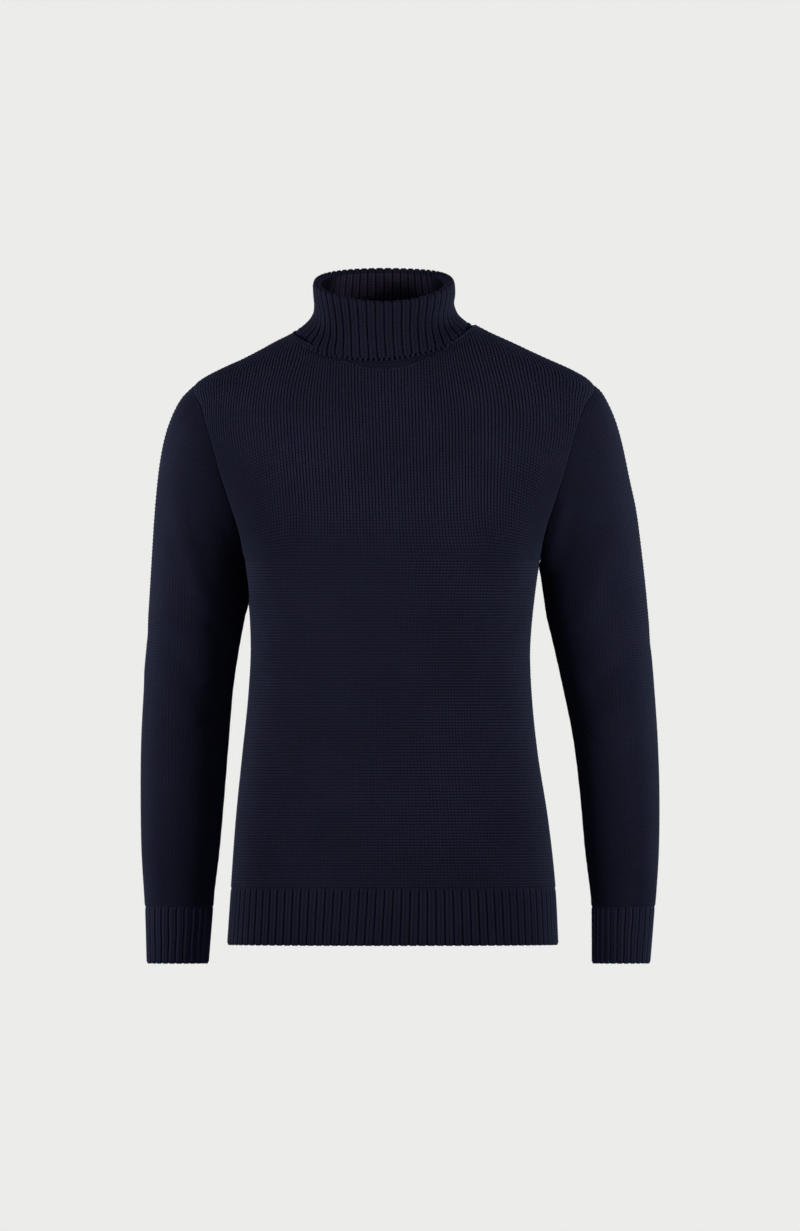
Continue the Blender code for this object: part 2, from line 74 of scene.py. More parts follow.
# Torso: one row for each level. half_width is that of the front's own edge, which is the side seam, then the
# armhole and then the shoulder line. front and back are depths from the side seam's plane.
Level = namedtuple("Level", "height half_width front back centre")
TORSO = (
    Level(-688, 185.6, 112, 114, 0.9),  # bottom edge
    Level(-625, 181.8, 110, 110, 1.4),  # top of the ribbed hem
    Level(-549, 174.9, 106, 102, 0.0),
    Level(-470, 164.8, 101, 92, -2.2),
    Level(-414, 159.0, 99, 86, -2.2),
    Level(-358, 156.4, 101, 86, -1.7),  # waist
    Level(-302, 160.0, 106, 92, -0.6),
    Level(-258, 165.5, 112, 98, 0.0),  # underarm
    Level(-228, 171.0, 115, 102, 0.0),
    Level(-193, 182.0, 116, 105, 0.0),  # chest
    Level(-160, 192.5, 114, 106, 0.0),
    Level(-137, 199.0, 110, 106, 0.0),
    Level(-110, 206.5, 104, 104, 0.0),
    Level(-85, 214.5, 95, 99, 1.0),
    Level(-61, 222.5, 86, 90, 2.6),  # shoulder point
    Level(-53, 212.5, 83, 86, 3.4),
    Level(-45, 197.8, 80, 83, 3.9),
    Level(-31, 167.0, 76, 78, 3.5),
    Level(-22, 148.8, 75, 76, 2.4),
    Level(-13, 131.0, 73, 73, 1.0),
    Level(-4, 112.0, 72, 71, 0.0),
    Level(4, 98.0, 71, 69, -1.7),
    Level(14, 82.0, 69, 66, -5.0),
)
SQUARENESS = 2.3  # exponent of the torso's sections: 2 is an ellipse, more is boxier
HEM_EDGE, HEM_TOP = -688, -625
UNDERARM, SHOULDER_POINT = -258, -61
ARMHOLE_DEPTH = 61  # half of the armhole's width from front to back

# Neckline, on the torso's surface
NECK_SIDES = {-1: -4.5, 1: 5.5}  # heights on the shoulder lines, towards -X and +X
NECK_FRONT, NECK_BACK = -44, 1  # heights
NECK_DIP = 2.3  # a larger exponent keeps the neckline up longer beside the neck
ROOF = 14.0  # height over the neck to which the panels are laid out, before they are cut at the neckline

# Sleeves: one row for each ring. A ring's plane holds its outer and inner points and the Y direction.
Ring = namedtuple("Ring", "outer_x outer_z inner_x inner_z half_depth centre_y")
LEFT_SLEEVE = (  # the wearer's left, at +X
    Ring(236.0, -72, 165.9, -263, 62, 0),
    Ring(248.5, -97, 165.6, -268, 62, 0),
    Ring(257.5, -127, 166.4, -274, 61, -1),
    Ring(265.5, -165, 167.4, -281, 60, -2),
    Ring(273.5, -203, 168.6, -290, 59, -4),
    Ring(279.0, -245, 170.4, -302, 57, -7),
    Ring(284.0, -290, 173.4, -322, 55, -11),
    Ring(288.5, -340, 180.2, -350, 53, -16),
    Ring(293.0, -395, 190.2, -395, 50, -21),
    Ring(297.0, -455, 202.4, -455, 47, -28),
    Ring(299.0, -517, 210.2, -517, 44, -37),
    Ring(298.4, -580, 215.8, -580, 40, -47),
    Ring(295.6, -627, 221.6, -627, 35, -55),
    Ring(294.0, -645, 223.0, -645, 33, -58),  # sewn to the cuff
)
RIGHT_SLEEVE = (  # mirrored: x is measured towards -X
    Ring(235.5, -77, 165.8, -263, 62, 0),
    Ring(247.5, -100, 165.2, -269, 62, 0),
    Ring(255.5, -126, 164.4, -276, 61, -1),
    Ring(261.0, -158, 163.4, -284, 60, -2),
    Ring(265.3, -202, 162.2, -294, 58, -4),
    Ring(268.3, -248, 162.0, -307, 56, -7),
    Ring(271.0, -294, 165.6, -327, 54, -11),
    Ring(274.2, -345, 171.0, -356, 52, -16),
    Ring(277.4, -400, 177.8, -402, 49, -21),
    Ring(280.4, -460, 182.6, -460, 46, -28),
    Ring(281.0, -520, 187.4, -520, 43, -37),
    Ring(280.0, -580, 192.6, -580, 40, -47),
    Ring(277.2, -627, 198.2, -627, 36, -55),
    Ring(276.0, -645, 199.6, -645, 35, -58),
)
CUFF_EDGE = -708
LEFT_CUFF_END = Ring(288.8, CUFF_EDGE, 223.2, CUFF_EDGE, 31, -69)
RIGHT_CUFF_END = Ring(274.2, CUFF_EDGE, 204.6, CUFF_EDGE, 33, -69)

# Turtleneck: the outer face of the layer that is turned down. share runs from its lower edge to the fold.
Stage = namedtuple("Stage", "share half_width front back centre square turn air")
COLLAR = (  # square: exponent of the front's outline from above. turn: how far the ribs have swung to the sides, in
    # radians. air: between the two layers
    Stage(0.00, 97.5, 82.5, 74.5, -11.5, 3.25, 0.00, 0.6),
    Stage(0.12, 89.6, 80.2, 72.2, -10.1, 2.8, 0.00, 0.9),
    Stage(0.23, 84.0, 78.8, 70.8, -9.3, 2.45, 0.00, 1.4),
    Stage(0.36, 80.3, 78.0, 70.0, -8.6, 2.2, 0.02, 2.0),
    Stage(0.55, 78.4, 77.6, 69.6, -8.8, 2.05, 0.06, 2.6),
    Stage(0.78, 79.4, 77.8, 69.8, -8.6, 2.0, 0.13, 3.0),
    Stage(1.00, 79.8, 77.8, 70.0, -9.0, 2.0, 0.20, 3.0),
)
COLLAR_LAYER = 3.0  # thickness of each of the two layers, ribs included
LOOSE_SIDE = 1.2  # how much more air the fold holds at +X
SQUARE_SIDE = 0.28  # how much more the front is squared towards +X, and how much less towards -X
Heights = namedtuple("Heights", "front side back front_dip back_dip lean")  # lean: rise towards +X, per millimetre
COLLAR_EDGE = Heights(-32.0, 2.8, 9.0, 1.05, 1.2, 0.048)
COLLAR_FOLD = Heights(27.3, 48.0, 66.0, 1.4, 0.62, 0.0)  # middle of the fold's bend

# Ribs, two wales each
COLLAR_RIBS = 50
HEM_RIBS = 50  # on the front, and again on the back
CUFF_RIBS = 25
GROOVE = 2.0  # depth of the groove between two ribs
RibPoint = namedtuple("RibPoint", "share height wales")  # share of the rib's width, of its rise, and wales across
RIB_SHAPE = (
    RibPoint(0.00, 0.00, 0.00),
    RibPoint(0.07, 0.38, 0.12),
    RibPoint(0.16, 0.86, 0.28),
    RibPoint(0.30, 1.00, 0.50),
    RibPoint(0.50, 0.84, 1.00),
    RibPoint(0.70, 1.00, 1.50),
    RibPoint(0.84, 0.86, 1.72),
    RibPoint(0.93, 0.38, 1.88),
)

# Stitches
WALE_DEPTH = 0.42  # half of a wale's height over the groove beside it
COURSE_DEPTH = 0.24  # half of a stitch's height over the hollow below it
RIB_STITCH = 0.22  # the same on a rib
UNEVEN = 0.35  # how much the stitches' height varies

# Columns and rows of points: two for each stitch
Count = namedtuple("Count", "columns side_rows armhole_rows")
PANEL = Count(232, 220, 160)
PANEL_INSIDE = Count(64, 48, 32)
SLEEVE_COLUMNS, SLEEVE_ROWS = 240, 356
SLEEVE_INSIDE = (64, 90)  # columns, rows
RIB_ROWS = 38
FINE = 900  # points of a curve before it is divided evenly
FAR = 1000

SEAM_DIP = 0.35  # how far the cloth sinks towards a seam
SIDE_DIP = 0.15  # the same at the side and underarm seams
SEAM_REACH = 2.6  # how far from a seam that starts
SEAM_FADE = (-205, -110)  # between these heights the dip along the armholes fades out

FRONT, BACK = -1, 1
UP = np.array([0.0, 0.0, 1.0])


# ---------------------------------------------------------------- curves

def spline(knots, values, at):
    """A smooth curve through a table's values, with knots in rising order."""
    knots, values, at = (np.asarray(v, float) for v in (knots, values, at))
    slopes = np.gradient(values, knots)
    i = np.clip(np.searchsorted(knots, at, side="right") - 1, 0, len(knots) - 2)
    span = knots[i + 1] - knots[i]
    t = (at - knots[i]) / span
    start = values[i] * (1 + 2 * t) * (1 - t) ** 2 + slopes[i] * span * t * (1 - t) ** 2
    end = values[i + 1] * (3 - 2 * t) * t**2 - slopes[i + 1] * span * (1 - t) * t**2
    return start + end


def column_of(table, key, name, at):
    return spline([getattr(row, key) for row in table], [getattr(row, name) for row in table], at)


def torso_at(name, z):
    return column_of(TORSO, "height", name, z)


def reach_of(points):
    """The length of a line up to each of its points."""
    steps = np.linalg.norm(np.diff(points, axis=0), axis=1)
    return np.concatenate([[0.0], np.cumsum(steps)])


def at_reach(points, reach, wanted):
    """Points at these places along a line, whose own points lie at reach."""
    return np.stack([np.interp(wanted, reach, points[:, axis]) for axis in range(3)], axis=1)


def along(points, shares):
    """Points at these shares of a line's length."""
    points = np.asarray(points, float)
    reach = reach_of(points)
    return at_reach(points, reach, np.asarray(shares) * reach[-1])


def even(count):
    return np.linspace(0.0, 1.0, count + 1)


def unit(vectors):
    return vectors / np.linalg.norm(vectors, axis=-1, keepdims=True)


def smooth(low, high, value):
    """0 below low and 1 above high, with a soft change between."""
    t = np.clip((value - low) / (high - low), 0, 1)
    return t * t * (3 - 2 * t)


def normals_of(grid, loop=False):
    """Unit normals of a grid of rows, pointing to the right of a column's direction seen along its row."""
    if loop:
        across = np.roll(grid, -1, axis=1) - np.roll(grid, 1, axis=1)
    else:
        across = np.gradient(grid, axis=1)
    return unit(np.cross(across, np.gradient(grid, axis=0)))


# ---------------------------------------------------------------- torso surface

def armhole_depth(z):
    """Half of the armhole's width at a height, 0 above and below it."""
    middle, half = (SHOULDER_POINT + UNDERARM) / 2, (SHOULDER_POINT - UNDERARM) / 2
    share = np.clip((z - middle) / half, -1, 1)
    return ARMHOLE_DEPTH * np.sqrt(1 - share**2)


def section_half_width(z):
    """The whole section's half width, which passes under the sleeve beside the armhole."""
    depth_share = armhole_depth(z) / torso_at("front", z)
    return torso_at("half_width", z) / (1 - depth_share**SQUARENESS) ** (1 / SQUARENESS)


def torso_point(x, z, side):
    """The point of the torso's front or back at this x and height."""
    across = np.clip(np.abs(x - torso_at("centre", z)) / section_half_width(z), 0, 1)
    depth = torso_at("front" if side == FRONT else "back", z)
    y = side * depth * (1 - across**SQUARENESS) ** (1 / SQUARENESS)
    return np.stack(np.broadcast_arrays(x, y, z), axis=-1)


def level_line(z, side):
    """The torso's front or back at one height, from -X to +X."""
    turn = np.linspace(0, math.pi, FINE)
    x = torso_at("centre", z) - torso_at("half_width", z) * np.cos(turn)
    return torso_point(x, np.full(FINE, float(z)), side)


def armhole_line(sign):
    """Heights and x of the armhole's edge, from the underarm up, closer together near its ends."""
    z = UNDERARM + (SHOULDER_POINT - UNDERARM) * (1 - np.cos(np.linspace(0, math.pi, FINE))) / 2
    return torso_at("centre", z) + sign * torso_at("half_width", z), z


def neckline(side, turn):
    """x and height of the neckline. turn is 0 at the -X side and pi at the +X side."""
    ends = [(torso_at("centre", z) + sign * torso_at("half_width", z), z) for sign, z in NECK_SIDES.items()]
    x, z = (a + (b - a) * (1 - np.cos(turn)) / 2 for a, b in zip(*ends))
    middle = NECK_FRONT if side == FRONT else NECK_BACK
    return x, z + (middle - z) * np.sin(turn) ** NECK_DIP


def shoulder_line(sign, shares):
    """x and height along the shoulder line, from the shoulder point to the neck."""
    z = np.linspace(SHOULDER_POINT, NECK_SIDES[sign], FINE)
    x = torso_at("centre", z) + sign * torso_at("half_width", z)
    line = along(np.stack([x, np.zeros(FINE), z], axis=1), shares)
    return line[:, 0], line[:, 2]


def neck_steps(count):
    """Turns of the points that a panel has along the neckline."""
    return math.pi * even(count.columns // 2)


def roof_line(count):
    """x and height of a line over the neckline, which carries the shoulder lines on and joins them in an arch."""
    near = np.array([[height, height + 1.0] for height in NECK_SIDES.values()])
    sign = np.reshape(list(NECK_SIDES), (-1, 1))
    ends = torso_at("centre", near) + sign * torso_at("half_width", near)
    share = np.linspace(-1, 1, count.columns // 2 + 1)[1:-1]
    x = ends[0, 0] + (ends[1, 0] - ends[0, 0]) * (1 + share) / 2
    half = (ends[1, 0] - ends[0, 0]) / 2
    left, right = (
        z + (ROOF - z) * (1 - np.abs(share) ** (half / abs(step) / (ROOF - z)))
        for z, step in zip(near[:, 0], ends[:, 1] - ends[:, 0])
    )
    return x, np.where(share < 0, left, right)


def top_edge(side, count, roofed):
    """x and height where each column of a panel ends: shoulder line, neckline or the roof over it, shoulder line."""
    shares = even(count.columns // 4)
    left, right = shoulder_line(-1, shares), shoulder_line(1, shares[::-1])
    middle = roof_line(count) if roofed else neckline(side, neck_steps(count)[1:-1])
    return tuple(np.concatenate(parts) for parts in zip(left, middle, right))


def blended(u, v, edges, bottom, top, i):
    """One coordinate of a patch's column i, where edges, bottom and top bound the patch."""
    sides = (1 - u) * edges[0] + u * edges[1]
    ends = (1 - v) * bottom[i] + v * top[i]
    corners = (1 - v) * ((1 - u) * bottom[0] + u * bottom[-1]) + v * ((1 - u) * top[0] + u * top[-1])
    return sides + ends - corners


def panel_face(side, count, roofed=False):
    """The outer face of the front or back, row by row from the hem to the top edge."""
    u = even(count.columns)
    heights = np.linspace(HEM_TOP - SEAM_LAP / 2, UNDERARM, count.side_rows + 1)
    lower = np.stack([along(level_line(z, side), u) for z in heights])
    bottom = lower[-1]
    top_x, top_z = top_edge(side, count, roofed)
    edges = [armhole_line(-1), armhole_line(1)]
    v = np.linspace(0, 1, FINE)
    columns = []
    for i, share in enumerate(u):
        x = blended(share, v, [e[0] for e in edges], bottom[:, 0], top_x, i)
        z = blended(share, v, [e[1] for e in edges], bottom[:, 2], top_z, i)
        columns.append(along(torso_point(x, z, side), even(count.armhole_rows)))
    upper = np.stack(columns, axis=1)
    return np.concatenate([lower, upper[1:]])


def panel_normals(face, side, count):
    """Outward directions of a panel's face, which at its edges follow the seams."""
    out = normals_of(face) * -side
    out[: count.side_rows + 1, (0, -1), 1] = 0  # side seams
    shoulder = count.columns // 4
    out[-1, : shoulder + 1, 1] = 0
    out[-1, -shoulder - 1 :, 1] = 0
    out[0, :, 2] = 0  # hem
    out = unit(out)
    for edge, sign in ((0, -1), (-1, 1)):
        loop = armhole_loop(sign, count)
        seam = seam_direction(loop)
        first = seam[: count.armhole_rows + 1]
        last = np.concatenate([seam[:1], seam[: count.armhole_rows - 1 : -1]])
        out[count.side_rows :, edge] = (first if side == FRONT else last)[::-1]
    return out


def armhole_loop(sign, count):
    """The armhole's points: from the shoulder down the front to the underarm and up the back."""
    edge = 0 if sign < 0 else -1
    front, back = (armhole_edge(side, edge, count) for side in (FRONT, BACK))
    return np.concatenate([front[::-1], back[1:-1]])


def armhole_edge(side, edge, count):
    x, z = armhole_line(-1 if edge == 0 else 1)
    return along(torso_point(x, z, side), even(count.armhole_rows))


def seam_direction(loop):
    """At each point of a closed seam, the outward direction square to it in the seam's own plane."""
    ahead = unit(np.roll(loop, -1, axis=0) - np.roll(loop, 1, axis=0))
    plane = unit(np.cross(loop, np.roll(loop, -1, axis=0)).sum(axis=0))
    out = unit(np.cross(ahead, plane))
    return out * np.sign(np.sum(out * (loop - loop.mean(axis=0))))


# ---------------------------------------------------------------- stitches

def wander(shape, steps, seed):
    """Smooth noise from -1 to 1 over a grid, with a new value every so many rows and columns."""
    random = np.random.default_rng(seed)
    coarse = random.uniform(-1, 1, [size // step + 3 for size, step in zip(shape, steps)])
    rows, columns = (np.arange(size) / step for size, step in zip(shape, steps))
    r, c = rows.astype(int), columns.astype(int)
    s, t = (x - x.astype(int) for x in (rows, columns))
    s, t = ((x * x * (3 - 2 * x)) for x in (s, t))
    low = coarse[r][:, c] * (1 - t) + coarse[r][:, c + 1] * t
    high = coarse[r + 1][:, c] * (1 - t) + coarse[r + 1][:, c + 1] * t
    return low * (1 - s[:, None]) + high * s[:, None]


def stitch_relief(shape, first_column, wale_depth, course_depth, seed):
    """Heights of plain knit. Odd columns are a wale's middle, and each stitch is a V over two columns and rows."""
    column = first_column + np.arange(shape[1])
    row = np.arange(shape[0])[:, None]
    middle = column % 2
    crest = np.where((row + middle) % 2 == 1, 1.0, -1.0)
    loose = 1 + UNEVEN * (0.6 * wander(shape, (2, 2), seed) + 0.4 * wander(shape, (60, 2), seed + 1))
    return (wale_depth * (2 * middle - 1) + course_depth * crest) * loose


def rib_columns(ribs, loop):
    """Shares of a line's length, heights as shares of the rise, and wales for each point across the ribs."""
    shares = np.array([(i + point.share) / ribs for i in range(ribs) for point in RIB_SHAPE])
    height = np.array([point.height for _ in range(ribs) for point in RIB_SHAPE])
    wales = np.array([2 * i + point.wales for i in range(ribs) for point in RIB_SHAPE])
    if loop:
        return shares, height, wales
    return np.append(shares, 1.0), np.append(height, 0.0), np.append(wales, 2.0 * ribs)


def rib_relief(rows, height, seed):
    """Heights of ribbed knit, with the crowns' stitches as small Vs."""
    columns = len(height)
    crest_column = np.array([point.height == 1 for point in RIB_SHAPE])
    crest_column = np.resize(crest_column, columns)
    row = np.arange(rows)[:, None]
    crest = np.where((row % 2 == 0) == crest_column, 1.0, -1.0)
    on_crown = height > 0.6
    loose = 1 + UNEVEN * wander((rows, columns), (2, 2), seed)
    return GROOVE * (height - 1) + RIB_STITCH * crest * on_crown * loose


# ---------------------------------------------------------------- meshes

def triangles_of(ids):
    """Two triangles for each quad of a grid of corner numbers, cut so that the stitches' Vs keep their ridges."""
    a, b, c, d = ids[:-1, :-1], ids[:-1, 1:], ids[1:, 1:], ids[1:, :-1]
    odd = np.arange(ids.shape[1] - 1) % 2 == 1
    first = np.where(odd, [a, b, c], [a, b, d])
    second = np.where(odd, [a, c, d], [b, c, d])
    return np.concatenate([first.reshape(3, -1), second.reshape(3, -1)], axis=1).T


def zip_rows(points, a, b):
    """Triangles between two rows of corner numbers, whatever their counts, kept square to the rows."""
    a, b = ([ids[0]] + [n for m, n in zip(ids, ids[1:]) if m != n] for ids in (a, b))
    share_a, share_b = (reach_of(points[ids]) for ids in (a, b))
    share_a, share_b = share_a / share_a[-1], share_b / share_b[-1]
    i = j = 0
    faces = []
    while i < len(a) - 1 or j < len(b) - 1:
        if j == len(b) - 1 or (i < len(a) - 1 and share_a[i + 1] <= share_b[j + 1]):
            faces.append((a[i], a[i + 1], b[j]))
            i += 1
        else:
            faces.append((a[i], b[j + 1], b[j]))
            j += 1
    return faces


Face = namedtuple("Face", "points ids uv")  # ids: a grid of numbers into points; uv: wales and courses of each point


def make_face(grid, u, v, start_row=0):
    """A face from a grid of points, with wales u across and courses v up."""
    shape = grid.shape[:2]
    uv = np.stack(np.broadcast_arrays(u, np.reshape(v, (-1, 1))), axis=-1)
    return Face(grid.reshape(-1, 3), np.arange(shape[0] * shape[1]).reshape(shape), uv.reshape(-1, 2))


def closed(face):
    """The same face as a tube: its first column follows its last."""
    return face._replace(ids=np.concatenate([face.ids, face.ids[:, :1]], axis=1))


def build(name, outer, inner, tube, wales_round, materials, hidden_from=math.inf):
    """A closed wall between a face that shows and a plain inner face. hidden_from is the course of the face that
    shows from which it takes the third material."""
    start = len(outer.points)
    points = np.concatenate([outer.points, inner.points]) * MM
    uv = np.concatenate([outer.uv, inner.uv])
    out, back = outer.ids, inner.ids + start
    rims = [(out[0], back[0]), (out[-1], back[-1])]
    if not tube:
        rims += [(out[:, 0], back[:, 0]), (out[:, -1], back[:, -1])]
    rim = [face for a, b in rims for face in zip_rows(points, a.tolist(), b.tolist())]
    sides = [triangles_of(out), triangles_of(back), np.array(rim)]
    faces = np.concatenate(sides)
    inside = np.repeat([0, 1, 0], [len(side) for side in sides])
    inside[: len(sides[0])] = 2 * (uv[sides[0], 1].min(axis=1) > hidden_from)
    whole = (faces[:, 0] != faces[:, 1]) & (faces[:, 1] != faces[:, 2]) & (faces[:, 2] != faces[:, 0])
    faces, inside = faces[whole], inside[whole].astype(np.int32)
    used, faces = np.unique(faces, return_inverse=True)
    faces = faces.reshape(-1, 3)
    mesh = bpy.data.meshes.new(name)
    mesh.from_pydata(points[used].tolist(), [], faces.tolist())
    for material in materials:
        mesh.materials.append(material)
    mesh.polygons.foreach_set("material_index", inside)
    shape = bmesh.new()
    shape.from_mesh(mesh)
    bmesh.ops.recalc_face_normals(shape, faces=shape.faces)
    shape.to_mesh(mesh)
    shape.free()
    mesh.shade_smooth()
    map_stitches(mesh, uv[used], wales_round)
    piece = bpy.data.objects.new(name, mesh)
    bpy.context.scene.collection.objects.link(piece)
    return piece


def map_stitches(mesh, uv, wales_round):
    """A UV map in stitches. On a tube the last face of a row reaches past the first column's number."""
    corners = np.zeros(len(mesh.loops), np.int32)
    mesh.loops.foreach_get("vertex_index", corners)
    values = uv[corners].reshape(-1, 3, 2)
    if wales_round:
        u = values[..., 0]
        wraps = np.ptp(u, axis=1) > wales_round / 2
        u[wraps] += np.where(u[wraps] < wales_round / 2, wales_round, 0)
    layer = mesh.uv_layers.new(name="knit")
    layer.data.foreach_set("uv", values.astype(np.float32).ravel())


# ---------------------------------------------------------------- materials

class Tree:
    """A material's nodes, written as sums."""

    def __init__(self, name):
        self.material = bpy.data.materials.new(name)
        self.material.use_nodes = True
        self.nodes = self.material.node_tree.nodes
        self.links = self.material.node_tree.links
        self.shader = self.nodes["Principled BSDF"]

    def add(self, kind, inputs=(), output=0, **settings):
        node = self.nodes.new(kind)
        for key, value in settings.items():
            setattr(node, key, value)
        for key, value in dict(inputs).items():
            self.put(node.inputs[key], value)
        return node.outputs[output]

    def put(self, socket, value):
        if isinstance(value, bpy.types.NodeSocket):
            self.links.new(value, socket)
        else:
            socket.default_value = value

    def sum(self, operation, *terms):
        return self.add("ShaderNodeMath", dict(enumerate(terms)), operation=operation)

    def cosine_wave(self, value):
        """1 at each whole number and 0 halfway between."""
        cosine = self.sum("COSINE", self.sum("MULTIPLY", value, 2 * math.pi))
        return self.sum("MULTIPLY_ADD", cosine, 0.5, 0.5)

    def step(self, value, low, high, start, end):
        """A soft step: start where value is low and end where it is high."""
        inputs = {"Value": value, "From Min": low, "From Max": high, "To Min": start, "To Max": end}
        return self.add("ShaderNodeMapRange", inputs, interpolation_type="SMOOTHSTEP")


YARNS = ((0.0096, 0.0112, 0.0228, 1.0), (0.0114, 0.0104, 0.0216, 1.0))  # two shades that the yarn wanders between
# painted light: the collar's inside takes a brighter, warmer copy of the yarn's two shades, for how light falls into
# the neck
COLLAR_INSIDE_PAINTED_LIGHT = ((0.0240, 0.0206, 0.0385, 1.0), (0.0260, 0.0202, 0.0385, 1.0))
# band is a darker copy as painted shadow under the collar, and cuff a lighter copy as painted light on the cuffs
TONES = {"body": 0.97, "plain": 0.88, "band": 0.6, "purl": 1.0, "yarn": 0.9,
         "rib": 0.84, "cuff": 1.15, "rib_inside": 0.84}
FUZZ_TINT = (0.45, 0.62, 1.0, 1.0)
CHEST_LOW, CHEST_HIGH = -0.262, -0.172  # the painted shade between the wales deepens between these heights, up the top-lit chest
ARM_SIDE = (0.105, 0.155)  # and grows fainter again towards the arms, below ARM_TOP
ARM_TOP = (-0.16, -0.09)
NECK_PAINTED_SHADOW = (0.045, 0.066)  # inside the collar, painted shadow darkens the yarn between these distances from its middle


def wale_depths(tree, place):
    """How deep the painted shade in the grooves between wales and between courses is, and how steep the stitches'
    legs: the painted shade between the wales is deepest on the top-lit chest."""
    corners = tree.add("ShaderNodeSeparateXYZ", {0: place}).node.outputs
    chest = tree.step(corners["Z"], CHEST_LOW, CHEST_HIGH, 0.0, 1.0)
    aside = tree.step(tree.sum("ABSOLUTE", corners["X"]), *ARM_SIDE, 0.0, 0.85)
    closed = tree.sum("MULTIPLY", aside, tree.step(corners["Z"], *ARM_TOP, 1.0, 0.0))
    on_lit_chest = tree.sum("MULTIPLY", chest, tree.sum("SUBTRACT", 1.0, closed))
    return [tree.sum("MULTIPLY_ADD", on_lit_chest, open - shut, shut) for shut, open in ((0.18, 0.94), (0.60, 0.12), (0.2, 0.5))]


def knit_material(name, form, yarns_or_painted_light=YARNS, with_painted_neck_shadow=False):
    """Navy cotton knit. The UV map counts wales across and courses up. form is body, plain, rib, purl or yarn."""
    tree = Tree(name)
    place = tree.add("ShaderNodeTexCoord", output="Object")
    stitches = tree.add("ShaderNodeSeparateXYZ", {0: tree.add("ShaderNodeUVMap", uv_map="knit")}).node.outputs
    wales, courses = stitches["X"], stitches["Y"]

    # aside is 0 in a wale's middle and 1 in the groove beside it; each stitch is a V of two legs
    aside = tree.sum("ABSOLUTE", tree.sum("MULTIPLY_ADD", tree.sum("FRACT", wales), 2.0, -1.0))
    off_leg = tree.sum("ABSOLUTE", tree.sum("MULTIPLY_ADD", aside, 2.0, -1.0))
    leg = tree.sum("SUBTRACT", 1.0, tree.sum("POWER", off_leg, 2.0))
    wale_depth, course_depth, steep = (0.50, 0.20, 0.5) if form == "rib" else (0.16, 0.34, 0.3)
    if form == "body":
        wale_depth, course_depth, steep = wale_depths(tree, place)
    rising = tree.sum("SUBTRACT", courses, tree.sum("MULTIPLY", aside, steep))
    strand = tree.cosine_wave(rising)
    stitch = tree.sum("MULTIPLY", leg, tree.sum("MULTIPLY_ADD", strand, 0.55, 0.45))
    if form == "purl":
        # painted shade: the colour darkens in the hollows between the purl bumps
        arch = tree.sum("MULTIPLY_ADD", tree.sum("COSINE", tree.sum("MULTIPLY", aside, math.pi)), 0.12, courses)
        stitch = tree.cosine_wave(tree.sum("MULTIPLY", arch, 2.0))
        shade = tree.sum("MULTIPLY_ADD", stitch, 0.5, 0.5)
    elif form == "yarn":
        stitch = shade = 1.0
    else:
        # painted shade: the colour darkens in the grooves between wales and in the hollows between courses
        painted_wale_groove_shade = tree.sum("MULTIPLY", tree.step(aside, 0.40, 1.0, 0.0, 1.0), wale_depth)
        painted_course_hollow_shade = tree.sum("MULTIPLY", tree.sum("SUBTRACT", 1.0, strand), course_depth)
        shade = tree.sum("SUBTRACT", tree.sum("SUBTRACT", 1.0, painted_wale_groove_shade), painted_course_hollow_shade)
    if form == "rib":
        # painted shade in the grooves between the ribs
        across = tree.sum("FRACT", tree.sum("MULTIPLY", wales, 0.5))
        to_groove = tree.sum("ABSOLUTE", tree.sum("MULTIPLY_ADD", across, 2.0, -1.0))
        shade = tree.sum("MULTIPLY", shade, tree.step(to_groove, 0.70, 0.95, 1.0, 0.8))

    if with_painted_neck_shadow:
        # painted shadow inside the collar, darker away from its middle
        x = tree.add("ShaderNodeSeparateXYZ", {0: place})
        off_middle = tree.sum("ABSOLUTE", tree.sum("SUBTRACT", x, COLLAR[-1].centre * MM))
        shade = tree.sum("MULTIPLY", shade, tree.step(off_middle, *NECK_PAINTED_SHADOW, 1.0, 0.15))
    fuzz = tree.add("ShaderNodeTexNoise", {"Vector": place, "Scale": 900.0, "Detail": 3.0, "Roughness": 0.7})
    patches = tree.add("ShaderNodeTexNoise", {"Vector": place, "Scale": 16.0, "Detail": 3.0})
    shade = tree.sum("MULTIPLY", shade, TONES[name])
    shade = tree.sum("MULTIPLY", shade, tree.step(fuzz, 0.30, 0.70, 0.78, 1.22))
    shade = tree.sum("MULTIPLY", shade, tree.step(patches, 0.30, 0.70, 0.93, 1.07))
    hue = tree.add("ShaderNodeTexNoise", {"Vector": place, "Scale": 55.0, "Detail": 2.0})
    mix = tree.add("ShaderNodeMix", data_type="RGBA", output="Result").node
    tree.put(mix.inputs["Factor"], tree.step(hue, 0.35, 0.65, 0.3, 0.7))
    for side, shade_of_yarn in zip("AB", yarns_or_painted_light):
        tree.put(colour_socket(mix.inputs, side), shade_of_yarn)
    yarn = colour_socket(mix.outputs, "Result")
    colour = tree.add("ShaderNodeVectorMath", {0: yarn, "Scale": shade}, operation="SCALE")
    tree.put(tree.shader.inputs["Base Color"], colour)

    relief = tree.sum("MULTIPLY_ADD", fuzz, 0.7, stitch)
    bump = tree.add("ShaderNodeBump", {"Height": relief, "Distance": 0.5 * MM, "Strength": 0.8})
    tree.put(tree.shader.inputs["Normal"], bump)
    tree.put(tree.shader.inputs["Roughness"], 0.9)
    tree.put(tree.shader.inputs["Specular IOR Level"], 0.015)
    tree.put(tree.shader.inputs["Sheen Weight"], 0.012)
    tree.put(tree.shader.inputs["Sheen Roughness"], 0.45)
    tree.put(tree.shader.inputs["Sheen Tint"], FUZZ_TINT)
    return tree.material


def colour_socket(sockets, name):
    """The colour one of a Mix node's several sockets of this name."""
    return next(socket for socket in sockets if socket.name == name and socket.type == "RGBA")


# ---------------------------------------------------------------- the pieces

